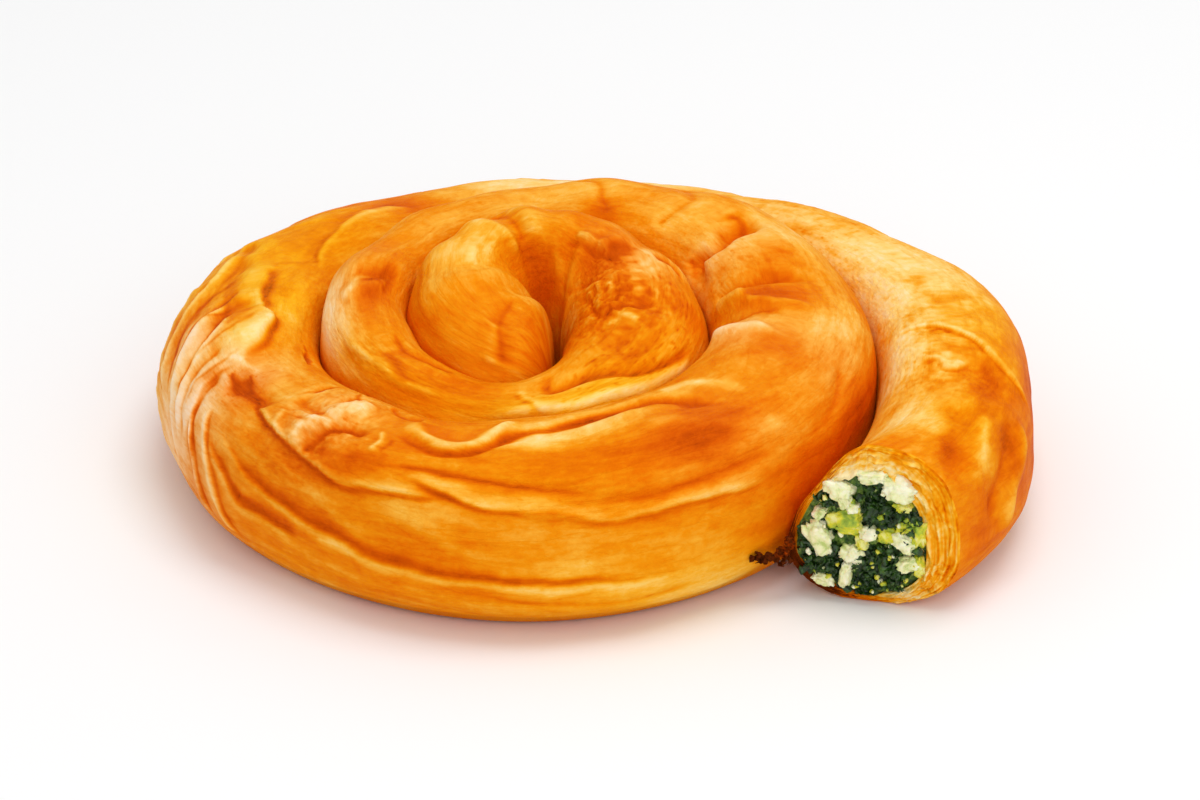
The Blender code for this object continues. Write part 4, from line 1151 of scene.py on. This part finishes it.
def make_coil(skin, material):
    """The pastry in stretches that share their end rings."""
    columns = skin["points"].shape[1]
    ends = np.linspace(0, RINGS - 1, STRETCHES + 1).astype(int)
    made = []
    for number, (first, last) in enumerate(zip(ends[:-1], ends[1:]), 1):
        part = slice(first, last + 1)
        attributes = {"browning_and_light": skin["browning_and_light"][part].ravel(), "cast": skin["cast"][part].ravel(),
                      "flow": skin["flow"][part].reshape(-1, 3)}
        points, normals = (skin[key][part].reshape(-1, 3) for key in ("points", "normals"))
        quads = grid_quads(last - first + 1, columns, True)[:, ::-1]
        made.append(new_mesh("pastry_stretch_%d" % number, points, quads, material, normals, attributes))
    return made


def through_wall(around, share, table):
    """The sum of layers of noise round the rim and through its wall."""
    return sum(amount * noise(around / reach, share * number, seed) for amount, reach, number, seed in table)


def rim_stand(share, around):
    """How far the rim's ragged sheets stand out, for each share of the wall and each place round it."""
    draw = random.Random(RIM_SEED)
    stand = through_wall(around, share, RIM_ROUGH)
    for sheet in range(RIM_SHEETS):
        wander, uneven, ragged = (amount * noise(around / reach, 0.0 * around + step * sheet, seed)
                                  for amount, reach, step, seed in RIM_SHEET_NOISE)
        height = draw.uniform(*RIM_STAND) * (RIM_LEVEL + uneven)
        thin = band(share, RIM_SHEET_HALF, (sheet + RIM_SHEET_START) / RIM_SHEETS + wander)
        stand = np.maximum(stand, (height + ragged) * thin)
    return stand


def rim_tone(share, lies, around, stand):
    """The rim is cream on top near the filling, golden outwards, and brown where it is thin at the base,
    dark crust with painted shade beside the coil.
    """
    raised, least, most = RIM_RAISED
    tone = RIM_TONE + RIM_TONE_INWARDS * share + raised * np.clip(stand, least, most)
    tone += RIM_CREAM[0] * share * band(lies, RIM_CREAM[2], RIM_CREAM[1])
    # The brown part is dark crust and painted shade beside the coil
    for amount, lie, spread in (RIM_BROWN_AND_SHADE, RIM_LOW):
        tone += amount * band(np.mod(lies, 360.0), spread, lie)
    return tone + through_wall(around, share, RIM_STREAKS)


def rim_edges(skin):
    """Lies round the rim, with the points of the skin's end and of the bore's end at each."""
    skin_lies = skin["lie"][0]
    lies = np.linspace(skin_lies[0], skin_lies[0] + 360.0, RIM_ROUND, endpoint=False)
    closed = np.concatenate([skin_lies, [skin_lies[0] + 360.0]])
    ring = np.vstack([skin["points"][0], skin["points"][0][:1]])
    outside = np.stack([np.interp(lies, closed, ring[:, axis]) for axis in range(3)], -1)
    return lies, outside, wall_ring(CUT_TURN, lies)


def make_rim(skin, material):
    """The layered, ragged rim at the cut, from the skin in to the bore, and a short lining of the bore."""
    lies, outside, inside = rim_edges(skin)
    thickness = np.linalg.norm(outside - inside, axis=-1)
    share = np.linspace(0.0, 1.0, RIM_STEPS)[:, None] + 0.0 * lies
    lie = lies[None, :] + 0.0 * share
    around = np.radians(lie) * MEAN_RADIUS
    stand = rim_stand(share, around) * np.clip(thickness / RIM_FULL_WALL, RIM_LEAST, 1.0)
    stand[0] = 0.0
    middle, spread, fringe_reach = RIM_FRINGE
    fringe = band(lie, spread, middle) * share ** 3
    stand += fringe
    reach = share + fringe_reach * fringe * (1.0 + through_wall(around, share, RIM_FRINGE_RAGS))
    points = outside + reach[..., None] * (inside - outside) + stand[..., None] * cut_normal()
    points[..., 2] += through_wall(around, share, RIM_SHIFTS) * np.sin(np.pi * share)
    points = np.concatenate([points, [wall_ring(behind_cut(depth), lies) for depth in RIM_LINING]])
    lining_tone = np.full((len(RIM_LINING), RIM_ROUND), RIM_LINING_TONE)
    browning_and_light = np.concatenate([rim_tone(share, lie, around, stand), lining_tone])
    length = around[:1] + np.zeros((len(points), 1))
    depth = np.linspace(0.0, RIM_FLOW, len(points))[:, None] + 0.0 * length
    flow = np.stack([length, depth, 0.0 * length], -1).reshape(-1, 3)
    attributes = {"browning_and_light": browning_and_light.ravel(), "cast": np.full(browning_and_light.size, RIM_CAST), "flow": flow}
    quads = grid_quads(len(points), RIM_ROUND, True)
    return new_mesh("pastry_cut_rim", points.reshape(-1, 3), quads, material, attributes=attributes)


def face_lies():
    """Lies round the edge of the cut face."""
    return np.linspace(0.0, 360.0, FACE_ROUND, endpoint=False)


def face_middle():
    """The middle of the filling's edge at the cut."""
    return wall_ring(CUT_TURN, face_lies()).mean(axis=0)


def face_points(side, rise, stand):
    """Places on the cut face, in space, from their distances across, up and out from its middle."""
    side, rise, stand = (np.asarray(value, float)[..., None] for value in (side, rise, stand))
    return face_middle() + side * cut_across() + rise * np.array([0.0, 0.0, 1.0]) + stand * cut_normal()


def on_face(side, rise):
    """Whether a place lies well inside the filling's edge at the cut."""
    ring = wall_ring(CUT_TURN, face_lies()) - face_middle()
    ring_side, ring_rise = ring @ cut_across(), ring[:, 2]
    angles = np.arctan2(ring_rise, ring_side)
    order = np.argsort(angles)
    reach = np.interp(math.atan2(rise, side), angles[order], np.hypot(ring_side, ring_rise)[order])
    return math.hypot(side, rise) < FACE_KEPT * reach


def face_stand(side, rise, shares):
    """How far the crumpled face of the filling stands out."""
    lump = layers(side, rise, BED_LUMPS)
    for height, reach, seed in BED_CRUMPLES:
        lump += height * (0.5 - np.abs(noise(side / reach, rise / reach, seed)))
    return FACE_STAND + lump * (1.0 - FACE_CALM * shares ** 6) - FACE_SUNK * shares ** 8


def make_filling_bed(material):
    """The filling along the bore, with a dense crumpled face at the cut."""
    lies = face_lies()
    edge = wall_ring(CUT_TURN, lies, BED_CLEARANCE)
    centre = edge.mean(axis=0)
    shares = np.linspace(FACE_OPEN, 1.0, FACE_STEPS)[:, None]
    points = centre + shares[..., None] * (edge - centre)
    stand = face_stand((points - centre) @ cut_across(), points[..., 2] - centre[2], shares)
    points = points + stand[..., None] * cut_normal()
    tube = [wall_ring(behind_cut(depth), lies, BED_CLEARANCE) for depth in np.linspace(*BED_RINGS)]
    sparse = lies[::BED_BACK_EVERY]
    back_turns = np.linspace(behind_cut(BED_BACK_DEPTH), BORE_END, BED_BACK_RINGS)
    back = np.stack([wall_ring(turn, sparse, FILLING_CLEARANCE) for turn in back_turns])
    front = np.concatenate([points, tube])
    front_points = front.reshape(-1, 3)
    quads = np.concatenate([grid_quads(len(front), len(lies), True),
                            grid_quads(len(back), len(sparse), True) + len(front_points)])
    all_points = np.concatenate([front_points, back.reshape(-1, 3)])
    return new_mesh("filling_bed", all_points, quads[:, ::-1], material)


def scattered(draw, reach):
    """A place drawn evenly over a disc."""
    away, angle = reach * math.sqrt(draw.random()), draw.uniform(0.0, 2.0 * math.pi)
    return away * math.cos(angle), away * math.sin(angle)


def turned(x, y, angle):
    """A place turned about the middle."""
    return x * math.cos(angle) - y * math.sin(angle), x * math.sin(angle) + y * math.cos(angle)


def ball(subdivisions):
    """The points and faces of a ball of radius 1."""
    mesh = bmesh.new()
    bmesh.ops.create_icosphere(mesh, subdivisions=subdivisions, radius=1.0)
    points = np.array([point.co for point in mesh.verts])
    faces = np.array([[point.index for point in face.verts] for face in mesh.faces])
    mesh.free()
    return points, faces


def roughened(point, seed):
    """How far out a lump of cheese reaches at a point of its ball."""
    reach = 1.0
    for amount, fineness in CHEESE_ROUGH:
        reach += amount * space_noise.noise(Vector(point * fineness + seed))
    return reach


def crumb(across, up, half_wide, half_high, tilt, depth, seed, stand, fineness):
    """One rough angular lump of cheese on the cut face."""
    flat, faces = ball(fineness)
    rough = np.array([roughened(point, seed) for point in flat])
    squared = np.sign(flat) * np.abs(flat) ** CHEESE_SQUARE
    wide, high, deep = (squared * rough[:, None]).T
    wide, high = turned(wide * half_wide, high * half_high, math.radians(tilt))
    return face_points(across + wide, up + high, deep * depth + stand), faces


def join_parts(name, parts, material, attributes=None):
    """One mesh from many small ones."""
    points, quads, total = [], [], 0
    for part_points, part_quads in parts:
        points.append(part_points)
        quads.append(part_quads + total)
        total += len(part_points)
    return new_mesh(name, np.concatenate(points), np.concatenate(quads), material, attributes=attributes)


def make_cheese(name, places, material, stand, depth, small):
    """The lumps of one kind of cheese at the cut, with small crumbs of it scattered among the leaves."""
    first, step = LUMP_SEEDS
    parts = [crumb(*place, depth, first + step * number, stand, LUMP_FINENESS)
             for number, place in enumerate(places)]
    draw = random.Random(CRUMB_SEED + small)
    first, step = CRUMB_SEEDS
    for number in range(small):
        side, rise = scattered(draw, CRUMB_REACH)
        size = draw.uniform(*CRUMB_SIZES)
        if on_face(side, rise):
            high, tilt = size * draw.uniform(*CRUMB_FLATNESS), draw.uniform(0.0, 180.0)
            parts.append(crumb(side, rise, size, high, tilt, size, first + step * number,
                               draw.uniform(*CRUMB_STAND), CRUMB_FINENESS))
    return join_parts(name, parts, material)


def leaf_height(u, v, seed):
    """The waves and curls of a leaf, for each point of its sheet."""
    wave, curl = LEAF_WAVE, LEAF_CURL
    heights = []
    for a, b in zip(u.ravel(), v.ravel()):
        waved = space_noise.noise(Vector((a * wave[1] + seed, b * wave[1], seed)))
        curled = space_noise.noise(Vector((a * curl[1], b * curl[1] + seed, seed)))
        heights.append(wave[0] * waved + curl[0] * curled)
    return np.array(heights).reshape(u.shape)


def leaf(draw, across, up, size, stand):
    """One crumpled scrap of spinach: a thin wavy closed sheet."""
    seed = draw.uniform(0.0, LEAF_SHIFT)
    u, v = np.meshgrid(np.linspace(-1.0, 1.0, LEAF_GRID), np.linspace(-1.0, 1.0, LEAF_GRID))
    rounded = size * np.clip(1.0 - LEAF_ROUND * (u * v) ** 2, 0.0, 1.0)
    x, y, z = u * rounded, v * rounded * LEAF_WIDTH, size * leaf_height(u, v, seed)
    angle, lean = draw.uniform(0.0, 2.0 * math.pi), draw.uniform(-LEAF_LEAN, LEAF_LEAN)
    y, z = turned(y, z, lean)
    x, y = turned(x, y, angle)
    front = face_points(across + x, up + y, stand + z)
    thin = LEAF_HALF_THICK * cut_normal()
    points = np.concatenate([(front + thin).reshape(-1, 3), (front - thin).reshape(-1, 3)])
    quads = grid_quads(LEAF_GRID, LEAF_GRID, False)
    count = LEAF_GRID * LEAF_GRID
    numbers = np.arange(count).reshape(LEAF_GRID, LEAF_GRID)
    rim = np.concatenate([numbers[0, :-1], numbers[:-1, -1], numbers[-1, :0:-1], numbers[:0:-1, 0]])
    after = np.roll(rim, -1)
    wall = np.stack([rim, rim + count, after + count, after], -1)
    return points, np.concatenate([quads, quads[:, ::-1] + count, wall])


def make_scraps(material):
    """Thin dark scraps of crust that curl out at the base of the cut, their dark brown partly painted shade.
    """
    draw = random.Random(SCRAP_SEED)
    parts = [leaf(draw, across, up, size, stand) for across, up, size, stand, _ in SCRAPS]
    flow = np.concatenate([points for points, _ in parts])
    browning_and_light = np.concatenate([np.full(len(points), scrap[-1]) for (points, _), scrap in zip(parts, SCRAPS)])
    attributes = {"browning_and_light": browning_and_light, "cast": np.zeros(len(flow)), "flow": flow}
    return join_parts("crust_scraps", parts, material, attributes)


def make_leaves(material):
    """The spinach at the cut, in clumps of crumpled scraps."""
    draw = random.Random(LEAF_SEED)
    parts = []
    for across, up, reach in LEAF_CLUMPS:
        for _ in range(int(LEAVES_FOR_REACH * reach ** LEAVES_POWER)):
            side, rise = scattered(draw, reach)
            side, rise = across + side, up + rise
            scrap = leaf(draw, side, rise, draw.uniform(*LEAF_SIZES), draw.uniform(*LEAF_STAND))
            if on_face(side, rise):
                parts.append(scrap)
    return join_parts("spinach_scraps", parts, material)


class Paint:
    """One material and its shader. Each method adds a node and gives back the socket to read."""

    def __init__(self, name):
        self.material = bpy.data.materials.new(name)
        self.material.use_nodes = True
        self.nodes = self.material.node_tree.nodes
        self.shader = self.nodes["Principled BSDF"]

    def join(self, value, socket):
        """Feed a socket from another one, or set it to a number."""
        if isinstance(value, (int, float)):
            socket.default_value = value
        else:
            self.material.node_tree.links.new(value, socket)

    def attribute(self, name, output):
        """A value that the mesh carries at each point."""
        node = self.nodes.new("ShaderNodeAttribute")
        node.attribute_name = name
        return node.outputs[output]

    def ramp(self, value, stops):
        """Colours along a value, from stops that each have a place and a colour."""
        node = self.nodes.new("ShaderNodeValToRGB")
        elements = node.color_ramp.elements
        elements.remove(elements[-1])
        elements[0].position, elements[0].color = stops[0]
        for position, colour in stops[1:]:
            elements.new(position).color = colour
        self.join(value, node.inputs["Fac"])
        return node.outputs["Color"]

    def calculate(self, operation, first, second, clamp=False):
        """The result of a sum or product of two sockets or numbers."""
        node = self.nodes.new("ShaderNodeMath")
        node.operation = operation
        node.use_clamp = clamp
        self.join(first, node.inputs[0])
        self.join(second, node.inputs[1])
        return node.outputs[0]

    def mixed(self, share, first, second):
        """Two colours mixed by the share of the second."""
        node = self.nodes.new("ShaderNodeMix")
        node.data_type = "RGBA"
        self.join(share, node.inputs["Factor"])
        colours_in = [entry for entry in node.inputs if entry.type == "RGBA"]
        for socket, value in zip(colours_in, (first, second)):
            self.join(value, socket)
        return next(entry for entry in node.outputs if entry.type == "RGBA")

    def noise(self, place, scale, detail, roughness, distortion):
        """A pattern of noise at a place."""
        node = self.nodes.new("ShaderNodeTexNoise")
        self.join(place, node.inputs["Vector"])
        node.inputs["Scale"].default_value = scale
        node.inputs["Detail"].default_value = detail
        node.inputs["Roughness"].default_value = roughness
        node.inputs["Distortion"].default_value = distortion
        return node.outputs["Fac"]

    def stretched_noise(self, place, stretch, *pattern):
        """A pattern of noise that is stretched along the roll."""
        node = self.nodes.new("ShaderNodeVectorMath")
        node.operation = "MULTIPLY"
        self.join(place, node.inputs[0])
        node.inputs[1].default_value = stretch
        return self.noise(node.outputs[0], *pattern)

    def colour(self, colour):
        """Give the shader its colour."""
        self.join(colour, self.shader.inputs["Base Color"])

    def bump(self, height, strength, distance):
        """Fine relief of the surface from a height."""
        node = self.nodes.new("ShaderNodeBump")
        node.inputs["Strength"].default_value = strength
        node.inputs["Distance"].default_value = distance
        self.join(height, node.inputs["Height"])
        self.join(node.outputs["Normal"], self.shader.inputs["Normal"])


def crust_tone(paint, patterns, vein):
    """How brown the crust is at each point, painted shade and highlights included, with its streaks, mottle,
    grain and veins.
    """
    tone = paint.attribute("browning_and_light", "Fac")
    for pattern, amount in zip(patterns, CRUST_TONES):
        shift = paint.calculate("MULTIPLY", paint.calculate("SUBTRACT", pattern, 0.5), amount)
        tone = paint.calculate("ADD", tone, shift)
    return paint.calculate("ADD", tone, paint.calculate("MULTIPLY", vein, VEIN_TONE), True)


def filo_material():
    """Baked filo: cream where it is sheltered and paler as painted highlight where raised, golden elsewhere,
    brown in spots and darker as painted shade in hollows.
    """
    paint = Paint("baked_filo_skin")
    flow = paint.attribute("flow", "Vector")
    *patterns, veins = [paint.stretched_noise(flow, *pattern)
                        for pattern in (CRUST_STREAKS, CRUST_MOTTLE, CRUST_GRAIN, CRUST_VEINS)]
    vein = paint.ramp(veins, VEIN_STOPS)
    tone = crust_tone(paint, patterns, vein)
    cast = paint.attribute("cast", "Fac")
    colour = paint.ramp(tone, FILO_STOPS)
    for sign, stops in ((1.0, ROSY_STOPS), (-1.0, YELLOW_STOPS)):
        share = paint.calculate("MULTIPLY", cast, sign, True)
        colour = paint.mixed(share, colour, paint.ramp(tone, stops))
    paint.colour(colour)
    _, mottle, grain = patterns
    least, more = CRUST_ROUGHNESS
    roughness = paint.calculate("ADD", paint.calculate("MULTIPLY", mottle, more), least)
    paint.join(roughness, paint.shader.inputs["Roughness"])
    paint.shader.inputs["Specular IOR Level"].default_value = 0.01
    height = paint.calculate("ADD", paint.calculate("MULTIPLY", grain, GRAIN_RELIEF), mottle)
    height = paint.calculate("SUBTRACT", height, paint.calculate("MULTIPLY", vein, VEIN_RELIEF))
    paint.bump(height, *CRUST_BUMP)
    return paint.material


def food_paint(name, look):
    """A moist food: soft patches of colour and a fine grain in relief."""
    paint = Paint(name)
    place = paint.nodes.new("ShaderNodeTexCoord").outputs["Object"]
    paint.colour(paint.ramp(paint.noise(place, *look["patches"]), look["stops"]))
    paint.bump(paint.noise(place, *look["grain"]), *look["bump"])
    return paint


def filling_material():
    """The mashed bed of the filling: mostly dark green, with pale green and cream flecks."""
    paint = food_paint("filling_bed_mix", BED_LOOK)
    paint.shader.inputs["Roughness"].default_value = 0.45
    return paint.material


def cheese_material(name, look):
    """Crumbly cheese, with a little green from the leaves."""
    paint = food_paint(name, look)
    paint.shader.inputs["Roughness"].default_value = 0.6
    paint.shader.inputs["Subsurface Weight"].default_value = 0.1
    paint.shader.inputs["Subsurface Scale"].default_value = 0.0008
    return paint.material


def leaf_material():
    """Cooked spinach: dark wet green."""
    paint = food_paint("cooked_spinach", SPINACH_LOOK)
    paint.shader.inputs["Roughness"].default_value = 0.32
    return paint.material


def make_floor():
    """The pale surface that the pastry lies on."""
    paint = Paint("pale_floor")
    paint.shader.inputs["Base Color"].default_value = FLOOR_COLOUR
    paint.shader.inputs["Roughness"].default_value = 0.8
    corners = ((-FLOOR_HALF, -FLOOR_HALF, 0.0), (FLOOR_HALF, -FLOOR_HALF, 0.0),
               (FLOOR_HALF, FLOOR_HALF, 0.0), (-FLOOR_HALF, FLOOR_HALF, 0.0))
    floor = new_mesh("floor", corners, np.array([[0, 1, 2, 3]]), paint.material)
    floor.location.z = -FLOOR_DROP


def make_light(name, size, energy, place):
    """A round light that faces the middle of the surface."""
    light = bpy.data.lights.new(name, "AREA")
    light.shape = "DISK"
    light.size = size
    light.energy = energy
    lamp = bpy.data.objects.new(name, light)
    lamp.location = place
    lamp.rotation_euler = (-Vector(place)).to_track_quat("-Z", "Y").to_euler()
    bpy.context.scene.collection.objects.link(lamp)


def make_lights():
    """An even white sky and the lights over the pastry."""
    world = bpy.data.worlds.new("soft_studio")
    world.use_nodes = True
    background = world.node_tree.nodes["Background"]
    background.inputs["Color"].default_value = WHITE
    background.inputs["Strength"].default_value = WORLD_STRENGTH
    bpy.context.scene.world = world
    for light in LIGHTS:
        make_light(*light)


def make_camera():
    """The camera, in front of the pastry and above it."""
    camera_data = bpy.data.cameras.new("camera")
    camera_data.sensor_width = SENSOR_MM
    camera_data.lens = FOCAL_PIXELS / FRAME_PIXELS * SENSOR_MM
    camera_data.clip_end = CAMERA_LIMIT
    camera = bpy.data.objects.new("camera", camera_data)
    slant = math.radians(CAMERA_ELEVATION)
    away = Vector((0.0, -math.cos(slant), math.sin(slant)))
    camera.location = (Vector(CAMERA_AIM) + away * CAMERA_DISTANCE) * METRES
    camera.rotation_euler = (-away).to_track_quat("-Z", "Y").to_euler()
    bpy.context.scene.collection.objects.link(camera)
    bpy.context.scene.camera = camera


def make_pastry():
    """The browned skin and the cut rim stand for the coil's solid."""
    skin = make_skin()
    filo = filo_material()
    for piece in make_coil(skin, filo) + [make_rim(skin, filo), make_scraps(filo)]:
        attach(piece, "root")
        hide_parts("pastry_coil")


def make_filling():
    """The bed, the cheese and the leaves stand for the filling's solid."""
    white = cheese_material("white_cheese", WHITE_CHEESE_LOOK)
    tinted = cheese_material("tinted_cheese", TINTED_CHEESE_LOOK)
    pieces = [make_filling_bed(filling_material()),
              make_cheese("white_cheese_lumps", CHEESE, white, *CHEESE_DEPTH, CRUMBS),
              make_cheese("tinted_cheese_lumps", CHEESE_TINTED, tinted, *TINTED_DEPTH, CRUMBS_TINTED),
              make_leaves(leaf_material())]
    for piece in pieces:
        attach(piece, "root")
        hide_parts("filling")


bpy.context.scene.view_settings.view_transform = "Standard"
make_floor()
make_lights()
make_camera()
make_pastry()
make_filling()
